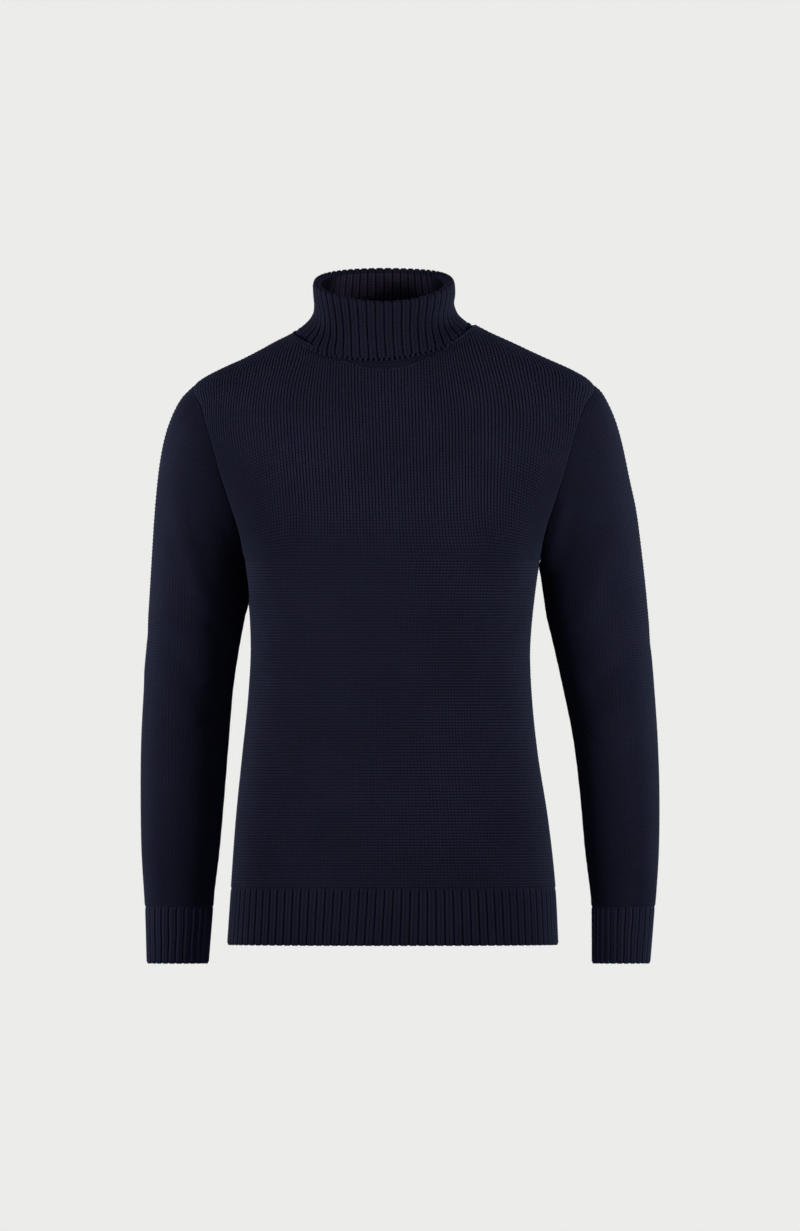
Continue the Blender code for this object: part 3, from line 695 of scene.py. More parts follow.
def dress(piece, node, plain):
    """Puts a piece in its solid's place and hides the solid. It measures the cut of its cloth on its plain form, but
    keeps nothing of it.
    """
    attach(piece, "root")
    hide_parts(node)
    rows = [reach_of(row)[-1] for row in plain]
    columns = [reach_of(plain[:, i])[-1] for i in range(plain.shape[1])]
    width, length = max(rows) * MM, max(columns) * MM
    across = plain[1:, 1:] - plain[:-1, :-1]
    down = plain[1:, :-1] - plain[:-1, 1:]
    area = np.linalg.norm(np.cross(across, down), axis=-1).sum() / 2 * MM**2
    area = min(area, width * length)


def looped(grid):
    """A tube's grid with its first column again at the end."""
    return np.concatenate([grid, grid[:, :1]], axis=1)


SHOULDER_SWING = 26.0  # how far the wales lean towards the neck where they pass over the shoulder
EXTRA_COLUMNS = 16  # columns that start at the armhole's edge because of it


def make_panel(name, side, materials):
    """The front or back, with its wales leaning towards the neck over the shoulders."""
    face = panel_face(side, PANEL, roofed=True)
    out = panel_normals(face, side, PANEL)
    share = np.arange(-EXTRA_COLUMNS, PANEL.columns + EXTRA_COLUMNS + 1) / PANEL.columns
    rise = np.zeros(len(face))
    rise[PANEL.side_rows :] = smooth(0.55, 1.0, even(PANEL.armhole_rows))
    half = np.abs(2 * share - 1)  # 1 at the armholes and 0 at the middle
    girth = reach_of(face[PANEL.side_rows])[-1]
    swing = -np.sign(share - 0.5) * SHOULDER_SWING / girth * smooth(0.15, 0.62, half)
    at = np.clip(share + np.outer(rise, swing), 0, 1)
    u = even(PANEL.columns)
    base = np.stack([at_reach(row, u, wanted) for row, wanted in zip(face, at)])
    out = np.stack([at_reach(row, u, wanted) for row, wanted in zip(out, at)])
    base, out, last_row = cut_at_neckline(base, unit(out), side)

    chest = smooth(-300, -200, base[..., 2])
    depth = WALE_DEPTH * (0.65 + 0.35 * chest)
    relief = stitch_relief(at.shape, -EXTRA_COLUMNS, depth, COURSE_DEPTH, seed=11 + side)
    to_side, to_end = np.minimum(at, 1 - at) * girth, distance_to_ends(base)
    at_side = (to_side < to_end) & (np.arange(len(face)) < PANEL.side_rows)[:, None]
    relief = sink_to_seams(relief, np.minimum(to_side, to_end), at_side, base[..., 2])
    relief += creases(name, base, out)
    lap = np.array([0, -side * SEAM_LAP / 2, 0])
    shown = base + out * relief[..., None] + lap

    ids = np.arange(at.size).reshape(at.shape)
    low, high = at <= 0, at >= 1
    rows = np.arange(len(ids))
    edge_low = ids[rows, low.sum(axis=1) - 1]
    edge_high = ids[rows, at.shape[1] - high.sum(axis=1)]
    ids = np.where(low, edge_low[:, None], np.where(high, edge_high[:, None], ids))
    ids = np.where(rows[:, None] > last_row, ids[last_row, np.arange(ids.shape[1])], ids)
    u_wales, v_courses = share * PANEL.columns / 2, rows / 2
    outer = make_face(shown, u_wales, v_courses)._replace(ids=ids)

    coarse = panel_face(side, PANEL_INSIDE)
    inner = coarse - WALL * panel_normals(coarse, side, PANEL_INSIDE) + lap
    inner = make_face(inner, even(PANEL_INSIDE.columns) * PANEL.columns / 2,
                      np.linspace(0, rows[-1] / 2, len(coarse)))
    piece = build(f"{name}_knit", outer, inner, False, 0, materials)
    dress(piece, name, base)
    return piece


def cut_at_neckline(base, out, side):
    """Ends each column that crosses the neckline there. Gives the row of each column's last point."""
    neck_x, neck_z = neckline(side, np.linspace(0, math.pi, FINE))
    above = base[..., 2] - np.interp(base[..., 0], neck_x, neck_z, left=FAR, right=FAR)
    above[: PANEL.side_rows] = -1
    last_row = np.full(base.shape[1], len(base) - 1)
    for i in np.flatnonzero(above.max(axis=0) > 0):
        last = last_row[i] = int(np.argmax(above[:, i] > 0))
        share = above[last - 1, i] / (above[last - 1, i] - above[last, i])
        for values in (base, out):
            values[last:, i] = values[last - 1, i] + share * (values[last, i] - values[last - 1, i])
    return base, unit(out), last_row


def sink_to_seams(relief, distance, at_side, z):
    near = 1 - smooth(0, SEAM_REACH, distance)
    dip = SEAM_DIP * (1 - smooth(*SEAM_FADE, z))
    return relief * (1 - near) - np.where(at_side, SIDE_DIP, dip) * near


def distance_to_ends(grid):
    """How far each point is from its column's nearer end."""
    steps = np.linalg.norm(np.diff(grid, axis=0), axis=2)
    reach = np.concatenate([np.zeros((1, grid.shape[1])), np.cumsum(steps, axis=0)])
    return np.minimum(reach, reach[-1] - reach)


# Folds: each follows a line from (across, z) to (across, z), seen from the side that the view names. across is x in
# the front and back views and y in the others. A depth over 0 is a ridge, and one under 0 a trough.
Fold = namedtuple("Fold", "view across0 z0 across1 z1 width depth")
View = namedtuple("View", "across ahead sign")
VIEWS = {"front": View(0, 1, -1), "back": View(0, 1, 1), "left": View(1, 0, 1), "right": View(1, 0, -1)}
FOLDS = {
    "sleeve_right": (
        Fold("left", -22, -252, -25, -318, 10, 4.4),  # the cloth that closes the underarm
        Fold("front", -246, -178, -204, -335, 12, 3.2),
        Fold("front", -268, -330, -216, -398, 13, -2.2),
        Fold("front", -262, -392, -212, -440, 12, 2.0),
        Fold("front", -222, -300, -186, -352, 9, -1.6),
        Fold("back", -252, -310, -205, -372, 14, -2.2),
        Fold("back", -258, -350, -208, -420, 12, 2.4),
        Fold("back", -244, -190, -196, -300, 14, 2.6),
        Fold("right", -40, -325, 18, -362, 12, -0.7),
        Fold("right", -34, -372, 10, -398, 12, 0.6),
    ),
    "sleeve_left": (
        Fold("right", -15, -246, -16, -276, 8, 1.6),
        Fold("front", 197, -186, 173, -272, 8, 4.6),  # stands over the armhole's lower end
        Fold("front", 250, -210, 214, -330, 13, 2.4),
        Fold("front", 270, -352, 222, -404, 13, -2.2),
        Fold("front", 272, -408, 220, -452, 12, 1.8),
        Fold("back", 256, -318, 212, -380, 14, -2.2),
        Fold("back", 262, -362, 214, -425, 12, 2.2),
        Fold("back", 246, -186, 200, -300, 14, 2.4),
        Fold("left", -42, -335, 16, -368, 12, -0.7),
    ),
    "front": (
        Fold("front", -150, -262, -96, -330, 13, 1.6),
        Fold("front", -152, -300, -108, -372, 12, -1.5),
        Fold("front", 150, -256, 92, -318, 13, 1.8),
        Fold("front", 156, -296, 112, -362, 12, -1.5),
        Fold("front", -140, -398, -60, -428, 16, 1.3),
        Fold("front", 148, -420, 70, -446, 16, 1.3),
        Fold("front", 166, -196, 148, -250, 8, -1.8),
    ),
    "back": (
        Fold("right", 24, -250, 25, -320, 10, 4.2),  # the cloth that closes the underarm
        Fold("left", 20, -244, 21, -272, 9, 1.3),
        Fold("back", -152, -262, -90, -340, 14, 2.0),
        Fold("back", 150, -258, 86, -336, 14, 2.0),
        Fold("back", -120, -372, 40, -392, 15, 2.2),
        Fold("back", -60, -402, 118, -418, 14, -1.8),
        Fold("back", -130, -440, 20, -452, 15, 1.8),
    ),
}


def creases(name, base, out):
    """How far the named piece's cloth stands out in soft ridges and sinks in soft troughs."""
    total = np.zeros(base.shape[:2])
    for fold in FOLDS.get(name, ()):
        view = VIEWS[fold.view]
        start, end = np.array([fold.across0, fold.z0], float), np.array([fold.across1, fold.z1], float)
        way = end - start
        place = base[..., (view.across, 2)] - start
        share = place @ way / (way @ way)
        aside = np.abs(place[..., 0] * way[1] - place[..., 1] * way[0]) / np.linalg.norm(way)
        inside = np.clip(4 * share * (1 - share), 0, 1)
        facing = smooth(-0.1, 0.5, out[..., view.ahead] * view.sign)
        total += fold.depth * np.exp(-((aside / fold.width) ** 2)) * np.sqrt(inside) * facing
    return total


def edge_curl(distance):
    """How far a free edge is drawn in, at this distance above it."""
    return 1.5 * (1 - smooth(0, 3.2, distance)) ** 2


def scallop(distance, height):
    """How far the crowns reach below the grooves at a rib's free edge, at this distance above it."""
    return SCALLOP * np.outer(1 - smooth(0, 5, distance), height - 0.5)


HEM_LEAN, CUFF_WAVE = 0.006, 0.0022  # how far ribs wander sideways, as shares of a row's length
SCALLOP = 1.6


def make_hem(name, side, materials):
    shares, height, wales = rib_columns(HEM_RIBS, loop=False)
    z = np.linspace(HEM_TOP + SEAM_LAP / 2, HEM_EDGE, RIB_ROWS + 1)
    drop = (HEM_TOP - z) / (HEM_TOP - HEM_EDGE)
    lean = HEM_LEAN * np.sin(math.pi * shares) ** 2 * np.sin(3 * math.pi * shares + 0.6)
    base = np.stack([along(level_line(level, side), shares + lean * down) for level, down in zip(z, drop)])
    out = normals_of(base) * side
    out[..., 2] = 0
    out[:, (0, -1), 1] = 0
    out = unit(out)
    growth = smooth(-1, 4, HEM_TOP - z)[:, None]
    relief = rib_relief(len(z), height, seed=31 + side)
    relief = relief * growth - (1 - growth) * 0.6 - edge_curl(z - HEM_EDGE)[:, None]
    lap = np.array([0, -side * SEAM_LAP / 2, 0])
    shown = base + out * relief[..., None] + lap
    shown[..., 2] -= scallop(z - HEM_EDGE, height)
    outer = make_face(shown, wales, -np.arange(len(z)) / 2)
    step = len(RIB_SHAPE) // 2
    inner = (base - out * (RIB_WALL + RIB_RISE))[::4, ::step] + lap
    inner = np.concatenate([inner[:-1], (base - out * (RIB_WALL + RIB_RISE))[-1:, ::step] + lap])
    inner = make_face(inner, wales[::step], np.linspace(0, -len(z) / 2, len(inner)))
    piece = build(f"{name}_knit", outer, inner, False, 0, materials)
    dress(piece, name, base)
    return piece


# ---------------------------------------------------------------- sleeves

def ring_point(ring, sign, turn):
    """Points of a sleeve's ring. turn is 0 on its outer side and grows towards the front."""
    outer = np.array([sign * ring.outer_x, ring.centre_y, ring.outer_z])
    inner = np.array([sign * ring.inner_x, ring.centre_y, ring.inner_z])
    middle, half = (outer + inner) / 2, (outer - inner) / 2
    depth = np.array([0.0, -ring.half_depth, 0.0])
    return middle + np.outer(np.cos(turn), half) + np.outer(np.sin(turn), depth)


def sleeve_rings(rings, sign, rows):
    """The sleeve's plain rings, evenly spaced, each a closed line that starts on its outer side."""
    loop = armhole_loop(sign, PANEL)
    count = len(loop)
    top, low = loop[0], loop[count // 2]
    armhole = Ring(sign * top[0], top[2], sign * low[0], low[2], ARMHOLE_DEPTH, 0)
    half = (top - low) / 2
    lift = (loop - (top + low) / 2) @ half / (half @ half)
    turn_at_seam = np.unwrap(np.arctan2(-loop[:, 1] / ARMHOLE_DEPTH, lift))
    level_turn = 2 * math.pi * np.arange(count) / count
    misfit = loop - ring_point(armhole, sign, turn_at_seam)

    table = np.array([armhole, *rings], float)
    knots = np.arange(len(table))
    place = np.linspace(0, knots[-1], 12 * len(table))
    fine = np.stack([spline(knots, table[:, i], place) for i in range(table.shape[1])], axis=1)
    middle = np.stack([(fine[:, 0] + fine[:, 2]) / 2, fine[:, 5], (fine[:, 1] + fine[:, 3]) / 2], axis=1)
    reach = reach_of(middle)
    place = np.interp(np.linspace(0, reach[-1], rows), reach, place)

    found = []
    for t in place:
        ring = Ring(*(float(spline(knots, table[:, i], t)) for i in range(table.shape[1])))
        turn = turn_at_seam + (level_turn - turn_at_seam) * smooth(0, 6.5, t)
        found.append(ring_point(ring, sign, turn) + misfit * (1 - smooth(0, 3.5, t)))
    grid = np.stack(found)
    grid = grid - np.array([sign * SEAM_LAP, 0, 0]) * (1 - smooth(0, 1, place))[:, None, None]
    grid[-1, :, 2] -= SEAM_LAP / 2
    return grid


def sleeve_normals(grid, loop, sign):
    out = normals_of(grid, loop=True) * sign
    out[0] = seam_direction(loop)
    out[-1, :, 2] = 0
    return unit(out)


def make_sleeve(name, rings, sign, materials):
    """A tube from the armhole to the cuff. Its wales run down from the shoulder and end in the underarm seam."""
    grid = sleeve_rings(rings, sign, SLEEVE_ROWS + 1)
    out = sleeve_normals(grid, armhole_loop(sign, PANEL), sign)
    grid, out = looped(grid), looped(out)
    place = (np.arange(SLEEVE_COLUMNS + 1) - SLEEVE_COLUMNS // 2) * WALE / 2
    base, normals, to_seam = [], [], []
    for row, away in zip(grid, out):
        reach = reach_of(row)
        half = reach[-1] / 2
        wanted = np.clip(place, -half, half)
        base.append(at_reach(row, reach, wanted % reach[-1]))
        normals.append(at_reach(away, reach, wanted % reach[-1]))
        to_seam.append(half - np.abs(wanted))
    base, normals, to_seam = np.stack(base), unit(np.stack(normals)), np.stack(to_seam)

    relief = stitch_relief(to_seam.shape, 0, 0.8 * WALE_DEPTH, COURSE_DEPTH, seed=50 + sign)
    to_end = distance_to_ends(base)
    relief = sink_to_seams(relief, np.minimum(to_seam, to_end), to_seam < to_end, base[..., 2])
    relief += creases(name, base, normals)
    shown = base + normals * relief[..., None]

    ids = np.arange(to_seam.size).reshape(to_seam.shape)
    at_seam = to_seam <= 0
    first = ids[:, 0]
    ids = np.where(at_seam, first[:, None], ids)
    ids[:, -1] = first
    rows = np.arange(len(ids))
    outer = make_face(shown, np.arange(SLEEVE_COLUMNS + 1) / 2, -rows / 2)._replace(ids=ids)

    columns, steps = SLEEVE_INSIDE
    coarse = sleeve_rings(rings, sign, steps + 1)
    away = sleeve_normals(coarse, armhole_loop(sign, PANEL), sign)
    coarse = coarse - WALL * away
    shares = np.arange(columns) / columns
    inner = np.stack([along(row, (shares + 0.5) % 1.0) for row in looped(coarse)])
    inner = make_face(inner, shares * SLEEVE_COLUMNS / 2, np.linspace(0, -rows[-1] / 2, steps + 1))
    piece = build(f"{name}_knit", outer, closed(inner), True, SLEEVE_COLUMNS / 2, materials)
    dress(piece, name, grid)
    return piece


def make_cuff(name, start, end, sign, materials):
    shares, height, wales = rib_columns(CUFF_RIBS, loop=True)
    turn = np.linspace(0, 2 * math.pi, FINE)
    z = np.linspace(start.outer_z + SEAM_LAP / 2, end.outer_z, RIB_ROWS + 1)
    rows = []
    for level in z:
        share = (start.outer_z - level) / (start.outer_z - end.outer_z)
        ring = Ring(*(a + (b - a) * share for a, b in zip(start, end)))
        wave = CUFF_WAVE * np.sin(2 * math.pi * (3 * shares + 1.1 * share)) * math.sin(math.pi * share)
        rows.append(along(ring_point(ring, sign, turn), (shares + wave) % 1.0))
    base = np.stack(rows)
    out = normals_of(base, loop=True) * sign
    out[..., 2] = 0
    out = unit(out)
    growth = smooth(-1, 4, start.outer_z - z)[:, None]
    relief = rib_relief(len(z), height, seed=70 + sign)
    relief = relief * growth - (1 - growth) * 0.6 - edge_curl(z - end.outer_z)[:, None]
    shown = base + out * relief[..., None]
    shown[..., 2] -= scallop(z - end.outer_z, height)
    outer = closed(make_face(shown, wales, -np.arange(len(z)) / 2))
    step = len(RIB_SHAPE) // 2
    inside = base - out * (RIB_WALL + RIB_RISE)
    inside = np.concatenate([inside[:-1:4], inside[-1:]])[:, ::step]
    inner = closed(make_face(inside, wales[::step], np.linspace(0, -len(z) / 2, len(inside))))
    piece = build(f"{name}_knit", outer, inner, True, 2 * CUFF_RIBS, materials)
    dress(piece, name, looped(base))
    return piece


# ---------------------------------------------------------------- turtleneck

def collar_base(share, turn):
    """The outer face of the turned-down layer. turn is 0 at the back and grows towards -X."""
    across = -column_of(COLLAR, "share", "half_width", share) * np.sin(turn)
    ahead = np.cos(turn)
    depth = np.where(ahead > 0, *(column_of(COLLAR, "share", name, share) for name in ("back", "front")))
    squared = (column_of(COLLAR, "share", "square", share) - 2) * (1 - SQUARE_SIDE * np.sin(turn))
    power = np.where(ahead > 0, 2.0, 2 + squared)
    reach = np.sign(ahead) * depth * (1 - np.abs(np.sin(turn)) ** power) ** (1 / power)
    edge, fold = (ring_heights(h, ahead) + h.lean * across for h in (COLLAR_EDGE, COLLAR_FOLD))
    x = column_of(COLLAR, "share", "centre", share) + across
    return np.stack([x, reach, edge + (fold - edge) * share], axis=-1)


def collar_frame(share, turn):
    """A point of the outer face, with its outward direction and the direction up the face."""
    step = 1e-3
    across = collar_base(share, turn + step) - collar_base(share, turn - step)
    low, high = max(share - step, 0.0), min(share + step, 1.0)
    rising = unit(collar_base(high, turn) - collar_base(low, turn))
    return collar_base(share, turn), unit(np.cross(across, rising)), rising


def collar_ring(share, inset, turn):
    """A ring of the collar, this far in from its outer face."""
    base, out, _ = collar_frame(share, turn)
    return base - np.reshape(inset, (-1, 1)) * out


def ring_heights(heights, ahead):
    """Heights round the neck, where ahead is 1 at the back and -1 at the front."""
    end = np.where(ahead > 0, heights.back, heights.front)
    dip = np.where(ahead > 0, heights.back_dip, heights.front_dip)
    return heights.side + (end - heights.side) * np.abs(ahead) ** dip


def air_at(share, turn):
    """The air between the two layers, which is looser on one side."""
    looser = 1 + LOOSE_SIDE * np.clip(-np.sin(turn), 0, 1) ** 2 * share
    return column_of(COLLAR, "share", "air", share) * looser


def standing_ring(share, depth, turn):
    """A ring of the layer that stands inside, depth being 0 on its hidden face and 1 on the face by the neck."""
    return collar_ring(share, COLLAR_LAYER * (1 + depth) + air_at(share, turn), turn)


def rib_row(ring, share, shares):
    """Points of a ring at the ribs' shares of its length. Where it is longer than the neck, only the side ribs
    spread, and they swing as COLLAR says. The ribs in front and behind stay upright where the ring shifts aside."""
    swing = column_of(COLLAR, "share", "turn", share) / (2 * math.pi)
    side = np.sin(2 * math.pi * shares)
    length = reach_of(ring)[-1]
    shift = (column_of(COLLAR, "share", "centre", share) - COLLAR[-1].centre) / length
    shares = shares + shift * np.cos(2 * math.pi * shares)
    slack = 1 - NECK_ROUND / length
    spread = smooth(0.25, 0.75, 2 * np.minimum(shares, 1 - shares)) / 2
    spread = np.where(shares <= 0.5, spread, 1 - spread)
    return along(ring, (shares + slack * (spread - shares) - swing * side * np.abs(side)) % 1.0)


def fold_ring(depth, angle, shares, turn):
    """A ring of the fold, this deep in its cloth. angle is 0 on its outer side and pi on its inner side."""
    base, out, rising = collar_frame(1.0, turn)
    radius = (COLLAR_LAYER + air_at(1.0, turn) / 2)[:, None]
    bent = math.cos(angle) * out + math.sin(angle) * rising
    return rib_row(base - radius * out + (radius - depth) * bent, 1.0, shares)


LEG_ROWS, BEND_ROWS = 36, 8
NECK_ROUND = 480.0  # the length round the collar where its ribs are evenly spaced
FOLD_STRETCH, FOLD_ROUND = 0.4, 0.5  # how far the grooves flatten over the fold, and how much its ribs' backs round


def make_collar(name, materials, yarn):
    """The turtleneck: one wall that stands up from the neckband, folds over and comes down again."""
    shares, height, wales = rib_columns(COLLAR_RIBS, loop=True)
    turn = np.linspace(0, 2 * math.pi, FINE)
    up, bends = even(LEG_ROWS), math.pi * even(BEND_ROWS)[1:-1]

    def leg(ring, depth, stages, at):
        return [rib_row(ring(stage, depth, turn), stage, at) for stage in stages]

    base = leg(collar_ring, 0.0, up, shares)
    base += [fold_ring(0.0, angle, shares, turn) for angle in bends]
    base += leg(standing_ring, 1, up[::-1], shares)
    base = np.stack(base)
    out = normals_of(base, loop=True)
    growth = np.ones(len(base))
    growth[-1] = 0
    relief = rib_relief(len(base), height, seed=90) * growth[:, None]
    from_fold = np.abs(np.arange(len(base)) - LEG_ROWS - BEND_ROWS / 2)
    on_fold = 1 - smooth(3, 8, from_fold)
    relief *= 1 - FOLD_STRETCH * on_fold[:, None]
    relief -= FOLD_ROUND * np.outer(on_fold, 1 - np.sin(math.pi * (shares * COLLAR_RIBS % 1.0)))
    relief -= edge_curl(np.arange(len(base)) * COURSE / 2)[:, None]
    outer = closed(make_face(base + out * relief[..., None], wales, np.arange(len(base)) / 2))

    step = len(RIB_SHAPE) // 2
    plain = shares[::step]
    hidden = leg(collar_ring, COLLAR_LAYER, up[::4], plain)
    hidden.append(fold_ring(COLLAR_LAYER, math.pi / 2, plain, turn))
    hidden += leg(standing_ring, 0, up[::-4], plain)
    inner = closed(make_face(np.stack(hidden), wales[::step], np.linspace(0, len(base) / 2, len(hidden))))
    behind_fold = (LEG_ROWS + BEND_ROWS) / 2
    piece = build(f"{name}_knit", outer, inner, True, 2 * COLLAR_RIBS, materials, hidden_from=behind_fold)
    edge, out, _ = collar_frame(0.0, turn[:-1])
    chain = make_chain(f"{name}_linking", edge - COLLAR_CHAIN.inset * out, out, COLLAR_CHAIN, yarn)
    dress(piece, name, looped(base))
    return piece


BAND_ROWS = 6


Chain = namedtuple("Chain", "count width height radius inset")
COLLAR_CHAIN = Chain(2 * COLLAR_RIBS, 3.4, 3.6, 1.1, 0.4)
BAND_CHAIN = Chain(130, 3.2, 2.4, 0.9, 0.2)
LOOP_STEPS, YARN_SIDES = 8, 6


def make_chain(name, line, out, chain, material):
    """The linking stitches of a seam: a row of yarn loops that hang from a closed line in the cloth's face."""
    reach = reach_of(looped_line(line))
    wanted = (np.arange(chain.count) + 0.5) / chain.count * reach[-1]
    middle = at_reach(looped_line(line), reach, wanted)
    away = unit(at_reach(looped_line(out), reach, wanted))
    across = unit(np.roll(middle, -1, axis=0) - np.roll(middle, 1, axis=0))
    down = unit(np.cross(across, away))
    down *= -np.sign(down[:, 2:])
    turns = np.linspace(0, math.pi, LOOP_STEPS + 1)
    half, drop = chain.width / 2 - chain.radius, chain.height - chain.radius
    path = (middle[:, None] - half * np.cos(turns)[:, None] * across[:, None]
            + drop * np.sin(turns)[:, None] ** 0.8 * down[:, None])
    ahead = unit(np.gradient(path, axis=1))
    side = unit(np.cross(ahead, away[:, None]))
    bends = 2 * math.pi * np.arange(YARN_SIDES) / YARN_SIDES
    round_yarn = chain.radius * (np.cos(bends)[:, None] * away[:, None, None] + np.sin(bends)[:, None] * side[:, :, None])
    points = (path[:, :, None] + round_yarn).reshape(-1, 3) * MM
    ids = np.arange(len(points)).reshape(chain.count, LOOP_STEPS + 1, YARN_SIDES)
    after = np.roll(ids, -1, axis=2)
    tubes = np.stack([ids[:, :-1], after[:, :-1], after[:, 1:], ids[:, 1:]], axis=-1).reshape(-1, 4)
    ends = np.concatenate([ids[:, 0, ::-1], ids[:, -1]])
    mesh = bpy.data.meshes.new(name)
    mesh.from_pydata(points.tolist(), [], tubes.tolist() + ends.tolist())
    mesh.materials.append(material)
    mesh.shade_smooth()
    piece = bpy.data.objects.new(name, mesh)
    bpy.context.scene.collection.objects.link(piece)
    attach(piece, "root")
    return piece


def looped_line(points):
    return np.concatenate([points, points[:1]])


def make_neckband(name, materials, yarn):
    """The plain band between the neckline and the collar."""
    steps = neck_steps(PANEL)
    turns = np.concatenate([math.pi / 2 + steps, 3 * math.pi / 2 + steps[1:-1]])
    front_x, front_z = neckline(FRONT, steps)
    back_x, back_z = neckline(BACK, steps[::-1][1:-1])
    edge = np.concatenate([torso_point(front_x, front_z, FRONT), torso_point(back_x, back_z, BACK)])
    top, top_inside = (standing_ring(0.0, depth, turns) + UP * SEAM_LAP for depth in (0, 1))
    out = band_normals()
    ahead = unit(np.roll(edge, -1, axis=0) - np.roll(edge, 1, axis=0))
    rising = unit(np.cross(out, ahead))
    rising *= np.sign(np.sum(rising * (top - edge), axis=1, keepdims=True))
    low = edge - SEAM_LAP * rising
    base = np.stack([low + (top - low) * share for share in even(BAND_ROWS)])
    relief = stitch_relief(base.shape[:2], 0, 0.15, 0.15, seed=101)
    relief[(0, -1), :] = 0
    away = normals_of(base, loop=True)
    away *= np.sign(np.sum(away * out, axis=-1, keepdims=True))
    u, v = np.arange(base.shape[1]) / 2, np.arange(len(base)) / 2
    outer = closed(make_face(base + away * relief[..., None], u, v))
    inside = np.stack([low - WALL * out, top_inside])[:, ::4]
    inner = closed(make_face(inside, u[::4], v[[0, -1]]))
    piece = build(f"{name}_knit", outer, inner, True, u[-1] + 0.5, materials)
    chain = make_chain(f"{name}_linking", edge - BAND_CHAIN.inset * out, out, BAND_CHAIN, yarn)
    dress(piece, name, looped(base))
    return piece


def band_normals():
    """The torso's outward directions along the neckline, as both panels use them."""
    parts = []
    for side in (FRONT, BACK):
        out = normals_of(panel_face(side, PANEL))[-1] * -side
        shoulder = PANEL.columns // 4
        out = out[shoulder : shoulder + PANEL.columns // 2 + 1]
        out[(0, -1), 1] = 0
        parts.append(unit(out))
    return np.concatenate([parts[0], parts[1][::-1][1:-1]])


# ---------------------------------------------------------------- studio

PIXEL = 1.12  # millimetres that a pixel of the 800 x 1231 photograph spans at the garment
VIEW_CENTRE = (9.0, -319.8)  # x and z in the middle of the picture
CAMERA_DISTANCE = 30.0
SENSOR = 36.0
BACKDROP = (0.839, 0.839, 0.823)
FLOOR_Z = -1.2


def make_camera():
    camera = bpy.data.objects.new("camera", bpy.data.cameras.new("camera"))
    bpy.context.scene.collection.objects.link(camera)
    x, z = VIEW_CENTRE
    camera.location = (x * MM, -CAMERA_DISTANCE, z * MM)
    camera.rotation_euler = (math.pi / 2, 0, 0)
    half_height = 1231 * PIXEL * MM / 2
    camera.data.sensor_width = SENSOR
    camera.data.lens = SENSOR / 2 * CAMERA_DISTANCE / half_height
    camera.data.clip_end = 100
    bpy.context.scene.camera = camera


Lamp = namedtuple("Lamp", "name place size watts spread colour shaded")  # shaded: the sleeve it does not reach
WHITE = (1.0, 1.0, 1.0)
COOL = (0.80, 0.98, 1.10)
LAMPS = (
    Lamp("top", (0.0, -0.9, 2.7), 1.6, 15, 180, WHITE, None),
    Lamp("left", (-1.82, -0.85, -0.02), 0.6, 5.2, 56, WHITE, "left"),
    Lamp("right", (1.45, -1.40, -0.02), 0.6, 5.2, 56, WHITE, "right"),
    Lamp("left_behind", (-2.6, 1.9, 0.3), 1.4, 100, 180, COOL, "left"),
    Lamp("right_behind", (2.6, 1.9, 0.3), 1.4, 110, 180, COOL, "right"),
)
AIM = (0.0, 0.0, -0.27)
FILL = (0.085, 0.088, 0.098)  # light that comes evenly from the whole studio


def make_world():
    """A studio that is brighter to the eye than its even light on the garment."""
    world = bpy.data.worlds.new("studio")
    bpy.context.scene.world = world
    world.use_nodes = True
    nodes, links = world.node_tree.nodes, world.node_tree.links
    seen, fill = nodes["Background"], nodes.new("ShaderNodeBackground")
    seen.inputs["Color"].default_value = (*BACKDROP, 1.0)
    fill.inputs["Color"].default_value = (*FILL, 1.0)
    mix, path = nodes.new("ShaderNodeMixShader"), nodes.new("ShaderNodeLightPath")
    links.new(path.outputs["Is Camera Ray"], mix.inputs["Fac"])
    links.new(fill.outputs[0], mix.inputs[1])
    links.new(seen.outputs[0], mix.inputs[2])
    links.new(mix.outputs[0], nodes["World Output"].inputs["Surface"])


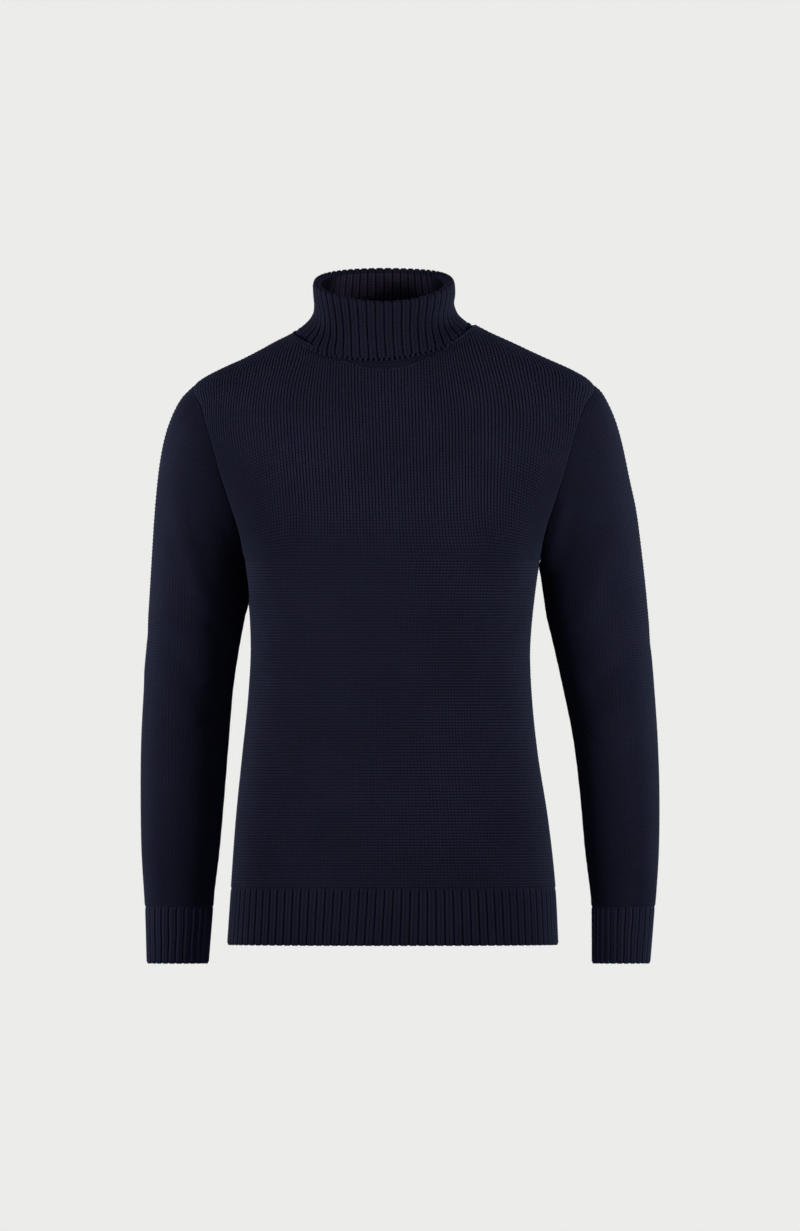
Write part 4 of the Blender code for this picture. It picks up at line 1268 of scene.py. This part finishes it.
def make_lights():
    """Soft lamps at both sides, before and behind. Each side lamp spares the sleeve beyond the body."""
    for lamp in LAMPS:
        light = bpy.data.lights.new(lamp.name, "AREA")
        light.size = lamp.size
        light.energy = lamp.watts
        light.spread = math.radians(lamp.spread)
        light.color = lamp.colour
        holder = bpy.data.objects.new(lamp.name, light)
        holder.location = lamp.place
        holder.rotation_euler = (Vector(AIM) - Vector(lamp.place)).to_track_quat("-Z", "Y").to_euler()
        holder.visible_camera = False
        bpy.context.scene.collection.objects.link(holder)
        if lamp.shaded:
            spared = bpy.data.collections.new(f"{lamp.name}_spares")
            for part in ("sleeve", "cuff"):
                spared.objects.link(bpy.data.objects[f"{part}_{lamp.shaded}_knit"])
            for member in spared.collection_objects:
                member.light_linking.link_state = "EXCLUDE"
            holder.light_linking.receiver_collection = spared
            clear = bpy.data.collections.new(f"{lamp.name}_passes")
            for side in ("left", "right"):
                for part in ("sleeve", "cuff"):
                    clear.objects.link(bpy.data.objects[f"{part}_{side}_knit"])
            for member in clear.collection_objects:
                member.light_linking.link_state = "EXCLUDE"
            holder.light_linking.blocker_collection = clear


def make_stage():
    """A plain pale floor, below the picture's lower edge."""
    bpy.ops.mesh.primitive_circle_add(vertices=128, radius=3.4, fill_type="NGON", location=(0, 0, FLOOR_Z))
    floor = bpy.context.object
    floor.name = "floor"
    tree = Tree("floor")
    tree.put(tree.shader.inputs["Base Color"], (0.80, 0.80, 0.785, 1.0))
    tree.put(tree.shader.inputs["Roughness"], 0.9)
    floor.data.materials.append(tree.material)


# ---------------------------------------------------------------- scene

def make_garment():
    inside = knit_material("purl", "purl")
    body, plain, rib = ([knit_material(form, form), inside] for form in ("body", "plain", "rib"))
    for name, side in (("front", FRONT), ("back", BACK)):
        make_panel(name, side, body)
        make_hem(f"hem_{name}", side, rib)
    # the cuffs' rib is a lighter copy: painted light
    cuff = [knit_material("cuff", "rib"), inside]
    for name, rings, end, sign in (
        ("left", LEFT_SLEEVE, LEFT_CUFF_END, 1),
        ("right", RIGHT_SLEEVE, RIGHT_CUFF_END, -1),
    ):
        make_sleeve(f"sleeve_{name}", rings, sign, plain)
        make_cuff(f"cuff_{name}", rings[-1], end, sign, cuff)
    yarn = knit_material("yarn", "yarn")
    # the band's plain knit is a darker copy: painted shadow under the collar
    make_neckband("neckband", [knit_material("band", "plain"), inside], yarn)
    # the collar's inside takes painted light and painted shadow
    make_collar("collar", [*rib, knit_material("rib_inside", "rib", COLLAR_INSIDE_PAINTED_LIGHT, with_painted_neck_shadow=True)], yarn)


make_camera()
make_world()
make_stage()
make_garment()
make_lights()
bpy.context.scene.view_settings.view_transform = "Standard"
